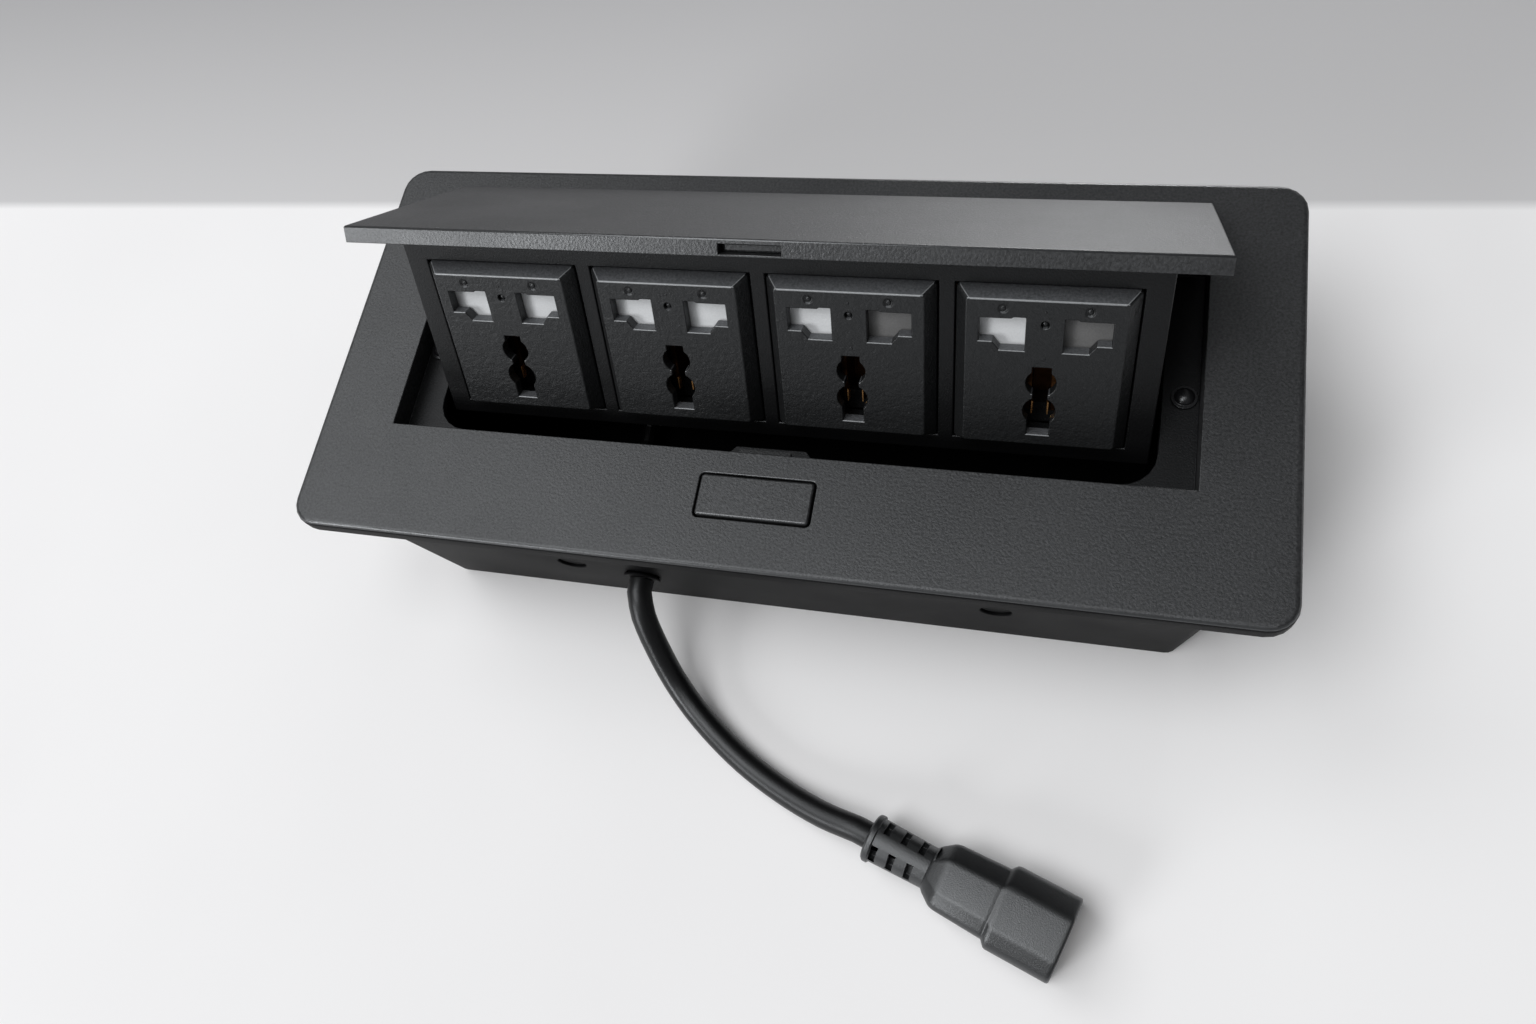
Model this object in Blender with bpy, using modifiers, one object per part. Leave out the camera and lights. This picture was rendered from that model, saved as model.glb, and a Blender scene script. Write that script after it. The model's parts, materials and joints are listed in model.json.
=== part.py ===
"""Pop-up desk socket box: a flush panel over a tub, and a lid that tilts up with a row of sockets.

Units are metres. The tub stands on Z = 0, the panel is centred on the Z axis, +X runs along its length
and the sockets look towards -Y. The lid is modelled shut and turned open about its pivot pins.
"""

import math

import bmesh
import bpy
from mathutils import Matrix, Vector

# Clearances
FIT_GAP = 0.0003
SWEEP_GAP = 0.0002
LID_GAP = 0.0005
BUTTON_GAP = 0.00055
FLOOR_GAP = 0.00015

# Pin apertures and earth keyhole, measured from the middle of a socket face
APERTURE_OUTER = 0.0155
APERTURE_INNER = 0.0045
APERTURE_TOP = 0.0153
APERTURE_STEP = 0.0004
APERTURE_STEP_END = 0.0078
APERTURE_SHOULDER = 0.0091
APERTURE_BOTTOM = 0.0068
APERTURE_BEND_OUTER = 0.0122
APERTURE_BEND_INNER = 0.0105
KEY_TOP = 0.0023
KEY_TOP_WIDTH = 0.0046
KEY_UPPER_DROP = 0.0022
KEY_UPPER_RADIUS = 0.0037
KEY_NECK_WIDTH = 0.0035
KEY_LOWER_DROP = 0.0104
KEY_LOWER_RADIUS = 0.004
KEY_FOOT_DROP = 0.0174
KEY_FOOT_WIDTH = 0.0055
PIP_X = 0.00995
PIP_Y = 0.01795
PIP_RADIUS = 0.00115
PIP_DEPTH = 0.0005
CENTRE_HOLE_Y = 0.014
CENTRE_HOLE_RADIUS = 0.001
CENTRE_HOLE_DEPTH = 0.0015

# Socket faces
SOCKET_COUNT = 4
SOCKET_GAP = 0.0046
FACE_LEAN = math.radians(14.5)
FACE_SIDE_MARGIN = 0.0031
FACE_FOOT_MARGIN = 0.003
FACE_SIDE_BEVEL = 0.00265
FACE_END_BEVEL = 0.0017
FACE_RISE = 0.00374
FACE_SKIN = 0.0032
FACE_CORNER = 0.0008
CAP_DEPTH = 0.0095
CAP_WALL = 0.002

# Shutters, contacts and busbars
SHUTTER_THICKNESS = 0.0015
SHUTTER_MARGIN = 0.0008
SHUTTER_BRIDGE = 0.0037
BACK_SIDE_GAP = 0.0015
BACK_RISE = 0.0161
BACK_DROP = 0.0199
BACK_REAR = 0.027
CONTACT_FRONT = 0.006
CONTACT_CLIP_REAR = 0.018
PIN_CONTACT_X = 0.010
PIN_CONTACT_Y = 0.011
PIN_CONTACT_WIDTH = 0.007
PIN_CONTACT_HEIGHT = 0.008
PIN_CONTACT_SLOT = 0.004
EARTH_CONTACT_DROP = 0.0063
EARTH_CONTACT_WIDTH = 0.0072
EARTH_CONTACT_HEIGHT = 0.015
EARTH_CONTACT_SLOT = 0.0048
TAIL_SIZE = 0.003
TAIL_OFFSET = 0.0018
BUSBAR_THICKNESS = 0.0012
BUSBAR_OVERHANG = 0.010

# Socket carrier and its arms
CARRIER_WALL = 0.0025
CARRIER_FLOOR = 0.002
CARRIER_END = 0.0042
CARRIER_DEPTH = 0.0374
CARRIER_TOP_ROOM = 0.0042
CARRIER_FOOT_MARGIN = 0.0048
COVER_THICKNESS = 0.002
COVER_HOLE_RADIUS = 0.004
COVER_HOLE_RISE = 0.0084
ARM_THICKNESS = 0.004
ARM_RISE = 0.0013
ARM_ROOT = 0.0165

# Pivot of the lid and carrier
OPEN_ANGLE = math.radians(43.4)
PIVOT_BEHIND = 0.0116
PIVOT_DROP = 0.0195
PIN_RADIUS = 0.0015
PIN_LENGTH = 0.0205
BOSS_RADIUS = 0.0032
LUG_THICKNESS = 0.004
LUG_HEIGHT = 0.010
LUG_GAP = 0.0022

# Lid
LID_THICKNESS = 0.0044
LID_REAR_GAP = 0.0011
LID_EDGE = 0.0005
SLOT_WIDTH = 0.0158
SLOT_HEIGHT = 0.0028
SLOT_DROP = 0.0013
SLOT_DEPTH = 0.004

# Panel and the recessed tray round its opening
PANEL_LENGTH = 0.266
PANEL_THICKNESS = 0.0052
PANEL_CORNER = 0.0075
PANEL_EDGE = 0.0016
PANEL_OVERHANG = 0.006
PANEL_SEAT = 0.0006
OPENING_DEPTH = 0.0643
FACE_SETBACK = 0.0126
LEDGE_WIDTH = 0.0092
LEDGE_FRONT = 0.003
LEDGE_DROP = 0.007
LEDGE_THICKNESS = 0.0025
TRAY_WALL = 0.002
HOLE_SIDE_GAP = 0.0019
HOLE_CORNER = 0.009
LIP_BASE = 0.0243
LIP_TIP = 0.0196
LIP_REACH = 0.0018

# Tub
TUB_WALL = 0.0025
TUB_FLOOR = 0.0025
TUB_FRONT_ROOM = 0.0015
TUB_REAR_ROOM = 0.0046
TUB_END_ROOM = 0.011
TUB_FLOOR_ROOM = 0.0042
TUB_TAPER = 0.0038
TUB_END_TAPER = 0.0065
TUB_CORNER = 0.004
TUB_FOOT = 0.0015

# Release button and latch
RELEASE_X = 0.0013
BUTTON_SETBACK = 0.01295
BUTTON_LENGTH = 0.0306
BUTTON_DEPTH = 0.0116
BUTTON_CORNER = 0.0009
BUTTON_EDGE = 0.0006
BUTTON_PROUD = 0.0005
BUTTON_TRAVEL = 0.002
EAR_REACH = 0.0015
EAR_DEPTH = 0.008
EAR_THICKNESS = 0.002
STEM_WIDTH = 0.006
STEM_LENGTH = 0.0075
STEM_NOSE = 0.002
STEM_REAR = 0.00345
LATCH_WIDTH = 0.014
LATCH_BODY_HEIGHT = 0.0046
LATCH_LEG = 0.0024
LATCH_REACH = 0.0016
LATCH_BAR = 0.0031
BRACKET_WALL = 0.0015
BRACKET_SIDE_ROOM = 0.0012
BRACKET_SPRING_ROOM = 0.0046

# Springs
SPRING_WIRE_RADIUS = 0.0004
SPRING_TURN_POINTS = 10
BUTTON_SPRING_INSET = 0.0043
BUTTON_SPRING_RADIUS = 0.0022
BUTTON_SPRING_TURNS = 5
LATCH_SPRING_RADIUS = 0.0016
LATCH_SPRING_TURNS = 4
TORSION_RADIUS = 0.0025
TORSION_TURNS = 5
TORSION_LENGTH = 0.0068
TORSION_LEG = 0.0118
TORSION_HOOK = 0.003

# Frame screws and blanks in the tub's front wall
SCREW_INSET = 0.0054
SCREW_STEM_RADIUS = 0.0015
SCREW_STEM_LENGTH = 0.012
SCREW_FLANGE_RADIUS = 0.0033
SCREW_FLANGE = 0.0006
SCREW_DOME_RADIUS = 0.0025
SCREW_DOME = 0.0014
POST_RADIUS = 0.0045
BLANK_INSET = 0.0579
BLANK_HEIGHT = 0.0285
BLANK_RADIUS = 0.0043
BLANK_RECESS = 0.0008
BLANK_FLANGE = 0.0012

# Cord, gland and wiring
CORD_DIAMETER = 0.0074
CORD_LEFT = 0.0405
CORD_HEIGHT = 0.023
GLAND_LIP = 0.0012
GLAND_LIP_RADIUS = 0.0056
GLAND_RADIUS = 0.0047
GLAND_NUT = 0.003
GLAND_NUT_RADIUS = 0.0075
WIRE_DIAMETER = 0.005
BLOCK_LENGTH = 0.030
BLOCK_DEPTH = 0.012
BLOCK_HEIGHT = 0.012
BLOCK_SETBACK = 0.010
JUMPER_OFFSET = 0.0145

# The cord's route: right of the gland, forward of the wall, and above the floor, chosen by hand
CORD_ROUTE = [
    (0.0017, 0.0113, 0.0195),
    (0.0058, 0.0187, 0.0140),
    (0.0123, 0.0276, 0.0080),
    (0.0217, 0.0367, 0.0046),
    (0.0347, 0.0460, 0.0038),
    (0.0481, 0.0531, 0.0043),
    (0.0614, 0.0583, 0.0064),
]

# Plug, placed from the gland and drawn along its own axis from the cord end
PLUG_RIGHT = 0.0768
PLUG_FORWARD = 0.0624
PLUG_HEADING = math.radians(-18.3)
COLLAR_RADIUS = 0.0068
COLLAR_LENGTH = 0.002
RELIEF_RADIUS = 0.0062
NECK_RADIUS = 0.00575
NECK_END = 0.0184
RELIEF_SLOTS = 3
RELIEF_PITCH = 0.0052
RELIEF_STAGGER = 0.0013
RELIEF_SLOT_WIDTH = 0.0017
RELIEF_SLOT_LENGTH = 0.005
RELIEF_SLOT_DEPTH = 0.0024
GRIP_FLARE = 0.0051
GRIP_SHOULDER = 0.0023
GRIP_SHOULDER_SHARE = 0.72
GRIP_LENGTH = 0.0135
GRIP_SIDE_STEP = 0.0024
GRIP_TOP_STEP = 0.0017
GRIP_CORNER = 0.0035
SHROUD_LENGTH = 0.0191
SHROUD_WIDTH = 0.0232
SHROUD_HEIGHT = 0.0175
SHROUD_CHAMFER = 0.0052
SHROUD_CORNER = 0.0015
SHROUD_SHOULDER = 0.0035
SHROUD_WALL = 0.0019
SHROUD_BACK = 0.0016
BLADE_WIDTH = 0.004
BLADE_THICKNESS = 0.002
BLADE_INSET = 0.0014
BLADE_PITCH = 0.0118
BLADE_DROP = 0.0012
BLADE_EARTH_RISE = 0.0025

# Round counts and the overlap that lets a cutter pass through a face
ROUND = 24
PAST = 0.001
SIDEWAYS = Matrix(((0, 0, 1, 0), (1, 0, 0, 0), (0, 1, 0, 0), (0, 0, 0, 1)))

# Lengths along X, which follow from the sockets
FACE_WIDTH = 2 * (APERTURE_OUTER + FACE_SIDE_MARGIN)
BASE_WIDTH = FACE_WIDTH + 2 * FACE_SIDE_BEVEL
SOCKET_PITCH = BASE_WIDTH + SOCKET_GAP
CARRIER_LENGTH = SOCKET_COUNT * SOCKET_PITCH + 2 * CARRIER_END
HOLE_LENGTH = CARRIER_LENGTH + 2 * HOLE_SIDE_GAP
OPENING_LENGTH = HOLE_LENGTH + 2 * LEDGE_WIDTH
LID_LENGTH = OPENING_LENGTH - 2 * LID_GAP
TUB_TOP_LENGTH = OPENING_LENGTH + 2 * TUB_END_ROOM
TUB_LENGTH = TUB_TOP_LENGTH - 2 * TUB_END_TAPER
SCREW_X = HOLE_LENGTH / 2 + SCREW_INSET
BLANK_X = TUB_TOP_LENGTH / 2 - BLANK_INSET
BRACKET_LENGTH = BUTTON_LENGTH + 2 * (EAR_REACH + BRACKET_SIDE_ROOM + BRACKET_WALL)
CORD_X = -CORD_LEFT
JUMPER_X = CORD_X - JUMPER_OFFSET

# Places along Y, from the release at the front to the pivot at the rear
LATCH_BITE = LATCH_BODY_HEIGHT - BUTTON_TRAVEL - 2 * FIT_GAP
WINDOW_REACH = BUTTON_SETBACK - STEM_REAR + STEM_NOSE + LATCH_BITE + FIT_GAP
BRACKET_REACH = WINDOW_REACH + LATCH_BAR + BRACKET_SPRING_ROOM + BRACKET_WALL
FRONT_DEPTH = BRACKET_REACH + TUB_FRONT_ROOM + TUB_WALL + PANEL_OVERHANG
REAR_DEPTH = TUB_REAR_ROOM + TUB_WALL + PANEL_OVERHANG
PANEL_DEPTH = FRONT_DEPTH + OPENING_DEPTH + PIVOT_BEHIND + REAR_DEPTH
TUB_TOP_DEPTH = PANEL_DEPTH - 2 * PANEL_OVERHANG
TUB_DEPTH = TUB_TOP_DEPTH - 2 * TUB_TAPER
OPENING_FRONT = FRONT_DEPTH - PANEL_DEPTH / 2
OPENING_REAR = OPENING_FRONT + OPENING_DEPTH
HOLE_FRONT = OPENING_FRONT + LEDGE_FRONT
LID_FRONT = OPENING_FRONT + LID_GAP
LID_REAR = OPENING_REAR - LID_REAR_GAP
PIVOT_Y = OPENING_REAR + PIVOT_BEHIND
FACE_CENTRE_Y = OPENING_FRONT + FACE_SETBACK
CARRIER_REAR = FACE_CENTRE_Y + CARRIER_DEPTH
BUTTON_Y = OPENING_FRONT - BUTTON_SETBACK
STEM_REAR_Y = BUTTON_Y + STEM_REAR
STEM_NOSE_Y = STEM_REAR_Y - STEM_NOSE
LATCH_LEG_FRONT = OPENING_FRONT - TRAY_WALL - FIT_GAP - LATCH_LEG
LATCH_WINDOW_FRONT = OPENING_FRONT - WINDOW_REACH
LATCH_FRONT = LATCH_WINDOW_FRONT - LATCH_BAR
BLOCK_FRONT = OPENING_FRONT - BLOCK_SETBACK

# Heights, from the tub's floor to the panel's top
FACE_HEIGHT = 2 * (KEY_FOOT_DROP + FACE_FOOT_MARGIN)
BASE_HEIGHT = FACE_HEIGHT + 2 * FACE_END_BEVEL
CARRIER_FOOT = BASE_HEIGHT / 2 + CARRIER_FOOT_MARGIN
BASE_TOP_RISE = BASE_HEIGHT / 2 * math.cos(FACE_LEAN) + FACE_RISE * math.sin(FACE_LEAN)
FOOT_DROP = CARRIER_FOOT * math.cos(FACE_LEAN) - FACE_RISE * math.sin(FACE_LEAN)
CARRIER_LOW = TUB_FLOOR + TUB_FLOOR_ROOM
FACE_CENTRE_Z = CARRIER_LOW + FOOT_DROP
CARRIER_TOP = FACE_CENTRE_Z + BASE_TOP_RISE + CARRIER_TOP_ROOM + CARRIER_FLOOR
LID_UNDER = CARRIER_TOP + FIT_GAP
PANEL_HEIGHT = LID_UNDER + LID_THICKNESS
PANEL_UNDER = PANEL_HEIGHT - PANEL_THICKNESS
SEAT_UNDER = PANEL_UNDER + PANEL_SEAT
LEDGE_TOP = PANEL_HEIGHT - LEDGE_DROP
LEDGE_UNDER = LEDGE_TOP - LEDGE_THICKNESS
TUB_TOP = SEAT_UNDER - FIT_GAP
TUB_TILT = math.atan2(TUB_TAPER, TUB_TOP)
PIVOT_Z = PANEL_HEIGHT - PIVOT_DROP
BUTTON_BOTTOM = SEAT_UNDER - FIT_GAP - EAR_THICKNESS
STEM_BOTTOM = BUTTON_BOTTOM - STEM_LENGTH
LATCH_BOTTOM = STEM_BOTTOM - BUTTON_TRAVEL - 2 * FIT_GAP
LATCH_TOP = LATCH_BOTTOM + LATCH_BODY_HEIGHT
BRACKET_TOP = LATCH_BOTTOM - FIT_GAP

# Points and directions
PIVOT = Vector((0.0, PIVOT_Y, PIVOT_Z))
SWEEP_RADIUS = math.hypot(PIVOT_BEHIND, PIVOT_DROP) + SWEEP_GAP
FACE_CENTRE = Vector((0.0, FACE_CENTRE_Y, FACE_CENTRE_Z))
FACE_UP = Vector((0.0, -math.sin(FACE_LEAN), math.cos(FACE_LEAN)))
FACE_OUT = Vector((0.0, -math.cos(FACE_LEAN), -math.sin(FACE_LEAN)))
COVER_HOLE_HEIGHT = CARRIER_LOW + COVER_HOLE_RISE

# Places along the plug
GRIP_START = NECK_END + GRIP_FLARE
GRIP_END = GRIP_START + GRIP_LENGTH
GRIP_WIDTH = SHROUD_WIDTH - 2 * GRIP_SIDE_STEP
GRIP_HEIGHT = SHROUD_HEIGHT - 2 * GRIP_TOP_STEP
PLUG_END = GRIP_END + FIT_GAP + SHROUD_LENGTH


# Scene helpers

def new_collection(name):
    group = bpy.data.collections.new(name)
    bpy.context.scene.collection.children.link(group)
    return group


for old in list(bpy.data.objects):
    bpy.data.objects.remove(old, do_unlink=True)
PARTS = new_collection("Pop-up desk socket box")
CUTTERS = new_collection("Cutters")


def add_tool(mesh):
    """Hold a mesh as a hidden working object until it is joined, cut away or published."""
    tool = bpy.data.objects.new("tool", mesh)
    tool.hide_render = True
    tool.display_type = "WIRE"
    CUTTERS.objects.link(tool)
    return tool


def from_bmesh(bm):
    mesh = bpy.data.meshes.new("tool")
    bm.to_mesh(mesh)
    bm.free()
    return add_tool(mesh)


def bake(item):
    """Replace an object's data with its evaluated mesh, welded and facing out."""
    bpy.context.view_layer.update()
    graph = bpy.context.evaluated_depsgraph_get()
    mesh = bpy.data.meshes.new_from_object(item.evaluated_get(graph))
    bm = bmesh.new()
    bm.from_mesh(mesh)
    bmesh.ops.remove_doubles(bm, verts=bm.verts, dist=1e-6)
    bmesh.ops.recalc_face_normals(bm, faces=bm.faces)
    bm.to_mesh(mesh)
    bm.free()
    return mesh


def combine(target, tool, operation):
    step = target.modifiers.new("Boolean", "BOOLEAN")
    step.operation = operation
    step.solver = "EXACT"
    step.object = tool
    mesh = bake(target)
    target.modifiers.clear()
    target.data = mesh
    bpy.data.objects.remove(tool, do_unlink=True)


def cut(target, *tools):
    for tool in tools:
        combine(target, tool, "DIFFERENCE")


def join(target, *tools):
    for tool in tools:
        combine(target, tool, "UNION")


def moved(item, matrix):
    item.data.transform(matrix)
    return item


def material(name, colour, roughness, metallic=0.0):
    made = bpy.data.materials.new(name)
    made.use_nodes = True
    shader = made.node_tree.nodes["Principled BSDF"]
    shader.inputs["Base Color"].default_value = (*colour, 1.0)
    shader.inputs["Roughness"].default_value = roughness
    shader.inputs["Metallic"].default_value = metallic
    made.diffuse_color = (*colour, 1.0)
    return made


def dress(mesh, finish):
    mesh.materials.clear()
    mesh.materials.append(finish)
    mesh.shade_smooth()
    mesh.set_sharp_from_angle(angle=math.radians(30))


def publish(item, name, finish, origin=(0.0, 0.0, 0.0), parent=None):
    """Turn a working object into a named piece whose origin is at the given point."""
    item.name = name
    item.data.name = name
    item.hide_render = False
    item.display_type = "TEXTURED"
    CUTTERS.objects.unlink(item)
    PARTS.objects.link(item)
    dress(item.data, finish)
    item.data.transform(Matrix.Translation(-Vector(origin)))
    if parent:
        item.parent = parent
    else:
        item.location = origin
    return item


def publish_on_face(mesh, name, finish, index):
    """Place a piece drawn in the socket's own frame at one place of the row."""
    piece = bpy.data.objects.new(name, mesh)
    PARTS.objects.link(piece)
    piece.parent = CARRIER_AXIS
    piece.location = FACE_CENTRE - PIVOT + Vector((socket_x(index), 0.0, 0.0))
    piece.rotation_euler.x = math.pi / 2 + FACE_LEAN
    return piece


def shape_mesh(item, finish):
    """Keep a working object's mesh for repeated pieces and drop the object."""
    mesh = item.data
    bpy.data.objects.remove(item, do_unlink=True)
    dress(mesh, finish)
    return mesh


# Shape helpers

def box(low, high):
    low = Vector(low)
    high = Vector(high)
    place = Matrix.Translation((low + high) / 2) @ Matrix.Diagonal((*(high - low), 1.0))
    bm = bmesh.new()
    bmesh.ops.create_cube(bm, size=1.0, matrix=place)
    return from_bmesh(bm)


def centred_box(centre, size):
    half = Vector(size) / 2
    return box(Vector(centre) - half, Vector(centre) + half)


def rod(radius, start, end, sides=ROUND):
    start = Vector(start)
    end = Vector(end)
    turn = (end - start).to_track_quat("Z", "Y").to_matrix().to_4x4()
    bm = bmesh.new()
    bmesh.ops.create_cone(
        bm, cap_ends=True, segments=sides, radius1=radius, radius2=radius, depth=(end - start).length,
        matrix=Matrix.Translation((start + end) / 2) @ turn)
    return from_bmesh(bm)


def drafted(levels, corner, foot=0.0):
    """A box through (height, half length, half depth) levels from low to high, with rounded uprights."""
    last = len(levels) - 1
    bm = bmesh.new()
    bmesh.ops.create_cube(bm, size=1.0, matrix=Matrix.Translation((0.0, 0.0, 0.5)))
    for index in range(1, last):
        whole = [*bm.verts, *bm.edges, *bm.faces]
        bmesh.ops.bisect_plane(bm, geom=whole, plane_co=(0, 0, index / last), plane_no=(0, 0, 1))
    for vert in bm.verts:
        height, half_x, half_y = levels[round(vert.co.z * last)]
        vert.co = Vector((2 * vert.co.x * half_x, 2 * vert.co.y * half_y, height))
    uprights = [edge for edge in bm.edges if abs(edge.verts[0].co.z - edge.verts[1].co.z) > 1e-7]
    bmesh.ops.bevel(
        bm, geom=uprights, offset=corner, segments=5, profile=0.5, affect="EDGES", loop_slide=True)
    if foot:
        low = levels[0][0]
        rim = [edge for edge in bm.edges if all(abs(vert.co.z - low) < 1e-7 for vert in edge.verts)]
        bmesh.ops.bevel(bm, geom=rim, offset=foot, segments=2, profile=0.5, affect="EDGES")
    return from_bmesh(bm)


def rounded(corners, steps=5):
    """A closed outline through (x, y, radius) corners, each corner an arc."""
    points = []
    count = len(corners)
    for index, (x, y, radius) in enumerate(corners):
        here = Vector((x, y))
        if not radius:
            points.append(here)
            continue
        before = (Vector(corners[index - 1][:2]) - here).normalized()
        after = (Vector(corners[(index + 1) % count][:2]) - here).normalized()
        half = before.angle(after) / 2
        centre = here + (before + after).normalized() * radius / math.sin(half)
        start = here + before * radius / math.tan(half) - centre
        side = 1 if before.x * after.y - before.y * after.x < 0 else -1
        for step in range(steps + 1):
            swing = Matrix.Rotation(side * (math.pi - 2 * half) * step / steps, 2)
            points.append(centre + swing @ start)
    return points


def rectangle(half_x, half_y, radius, centre=(0.0, 0.0)):
    signs = ((1, -1), (1, 1), (-1, 1), (-1, -1))
    return rounded([(centre[0] + a * half_x, centre[1] + b * half_y, radius) for a, b in signs])


def prism(outline, low, high, frame=Matrix()):
    """A flat outline given a thickness from low to high along its own Z."""
    curve = bpy.data.curves.new("tool", "CURVE")
    curve.dimensions = "2D"
    curve.fill_mode = "BOTH"
    curve.extrude = (high - low) / 2
    spline = curve.splines.new("POLY")
    spline.points.add(len(outline) - 1)
    for point, (x, y) in zip(spline.points, outline):
        point.co = (x, y, 0.0, 1.0)
    spline.use_cyclic_u = True
    item = mesh_from_curve(curve)
    bm = bmesh.new()
    bm.from_mesh(item.data)
    bmesh.ops.dissolve_limit(bm, angle_limit=0.001, verts=bm.verts, edges=bm.edges)
    bm.to_mesh(item.data)
    bm.free()
    return moved(item, frame @ Matrix.Translation((0.0, 0.0, (low + high) / 2)))


def mesh_from_curve(curve):
    guide = bpy.data.objects.new("tool", curve)
    CUTTERS.objects.link(guide)
    mesh = bake(guide)
    bpy.data.objects.remove(guide, do_unlink=True)
    return add_tool(mesh)


def round_top_edge(item, height, radius, segments=3):
    """Round the rim where a flat top at the given height meets the sides."""
    bm = bmesh.new()
    bm.from_mesh(item.data)
    rim = []
    for edge in bm.edges:
        level = all(abs(vert.co.z - height) < 1e-6 for vert in edge.verts)
        if level and edge.is_manifold and edge.calc_face_angle() > 0.5:
            rim.append(edge)
    bmesh.ops.bevel(bm, geom=rim, offset=radius, segments=segments, profile=0.5, affect="EDGES")
    bm.to_mesh(item.data)
    bm.free()
    return item


def turned(profile, frame=Matrix(), steps=ROUND):
    """A solid of revolution about Z from (radius, height) points listed top to bottom."""
    mesh = bpy.data.meshes.new("tool")
    verts = [(radius, 0.0, height) for radius, height in profile]
    mesh.from_pydata(verts, [(index, index + 1) for index in range(len(verts) - 1)], [])
    item = add_tool(mesh)
    spin = item.modifiers.new("Screw", "SCREW")
    spin.steps = steps
    spin.render_steps = steps
    spin.use_merge_vertices = True
    spin.merge_threshold = 0.00001
    mesh = bake(item)
    item.modifiers.clear()
    item.data = mesh
    return moved(item, frame)


def smooth_path(points, spacing):
    """Evenly spaced points on a Catmull-Rom curve through the given points."""
    knots = [Vector(point) for point in points]
    ends = [2 * knots[0] - knots[1], *knots, 2 * knots[-1] - knots[-2]]
    fine = []
    for a, b, c, d in zip(ends, ends[1:], ends[2:], ends[3:]):
        for step in range(20):
            t = step / 20
            fine.append(0.5 * (2 * b + (c - a) * t + (2 * a - 5 * b + 4 * c - d) * t * t
                               + (3 * b - a - 3 * c + d) * t * t * t))
    fine.append(knots[-1])
    lengths = [0.0]
    for here, there in zip(fine, fine[1:]):
        lengths.append(lengths[-1] + (there - here).length)
    count = max(2, round(lengths[-1] / spacing))
    path = []
    place = 0
    for step in range(count + 1):
        goal = lengths[-1] * step / count
        while place < len(fine) - 2 and lengths[place + 1] < goal:
            place += 1
        share = (goal - lengths[place]) / (lengths[place + 1] - lengths[place])
        path.append(fine[place].lerp(fine[place + 1], share))
    return path


def tube(path, radius, resolution):
    """A wire or cord with flat ends along a path of points."""
    curve = bpy.data.curves.new("tool", "CURVE")
    curve.dimensions = "3D"
    curve.bevel_depth = radius
    curve.bevel_resolution = resolution
    curve.use_fill_caps = True
    spline = curve.splines.new("POLY")
    spline.points.add(len(path) - 1)
    for point, place in zip(spline.points, path):
        point.co = (*place, 1.0)
    return mesh_from_curve(curve)


def helix(radius, length, turns, frame=Matrix()):
    """Points of a coil along Z from 0 to length."""
    count = turns * SPRING_TURN_POINTS
    points = []
    for step in range(count + 1):
        angle = 2 * math.pi * step / SPRING_TURN_POINTS
        place = Vector((radius * math.cos(angle), radius * math.sin(angle), length * step / count))
        points.append(frame @ place)
    return points


def axes(origin, x_axis, z_axis):
    """A frame from an origin, its X axis and its Z axis."""
    x_axis = Vector(x_axis).normalized()
    z_axis = Vector(z_axis).normalized()
    y_axis = z_axis.cross(x_axis)
    turn = Matrix((x_axis, y_axis, z_axis)).transposed().to_4x4()
    return Matrix.Translation(origin) @ turn


# Places on the object

def socket_x(index):
    return (index - (SOCKET_COUNT - 1) / 2) * SOCKET_PITCH


def face_point(up, out):
    """A point in the shut carrier's side view, from the middle of the socket faces."""
    place = FACE_CENTRE + FACE_UP * up + FACE_OUT * out
    return (place.y, place.z)


def tub_half(height):
    """Half length and half depth of the tub's outside at a height."""
    share = height / TUB_TOP
    half_length = (TUB_LENGTH + (TUB_TOP_LENGTH - TUB_LENGTH) * share) / 2
    half_depth = (TUB_DEPTH + (TUB_TOP_DEPTH - TUB_DEPTH) * share) / 2
    return half_length, half_depth


def front_wall(x, height):
    """A frame on the outside of the tub's front wall, with Z pointing out of it."""
    outward = (0.0, -math.cos(TUB_TILT), -math.sin(TUB_TILT))
    return axes((x, -tub_half(height)[1], height), (1, 0, 0), outward)


PANEL_FINISH = material("charcoal_panel", (0.055, 0.055, 0.058), 0.5)
SHELL_FINISH = material("black_plastic", (0.018, 0.018, 0.019), 0.45)
SOCKET_FINISH = material("socket_black", (0.022, 0.023, 0.024), 0.5)
SHUTTER_FINISH = material("shutter_white", (0.72, 0.72, 0.71), 0.45)
BRASS_FINISH = material("brass", (0.62, 0.36, 0.14), 0.3, 1.0)
STEEL_FINISH = material("spring_steel", (0.45, 0.45, 0.46), 0.3, 1.0)
CORD_FINISH = material("cord_pvc", (0.012, 0.012, 0.013), 0.4)
PLUG_FINISH = material("plug_pvc", (0.026, 0.028, 0.031), 0.5)
BLOCK_FINISH = material("terminal_plastic", (0.55, 0.55, 0.53), 0.5)

CARRIER_AXIS = bpy.data.objects.new("carrier_axis", None)
CARRIER_AXIS.location = PIVOT
CARRIER_AXIS.rotation_euler.x = -OPEN_ANGLE
PARTS.objects.link(CARRIER_AXIS)


# Fixed pieces: panel, tub and their fasteners

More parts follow.
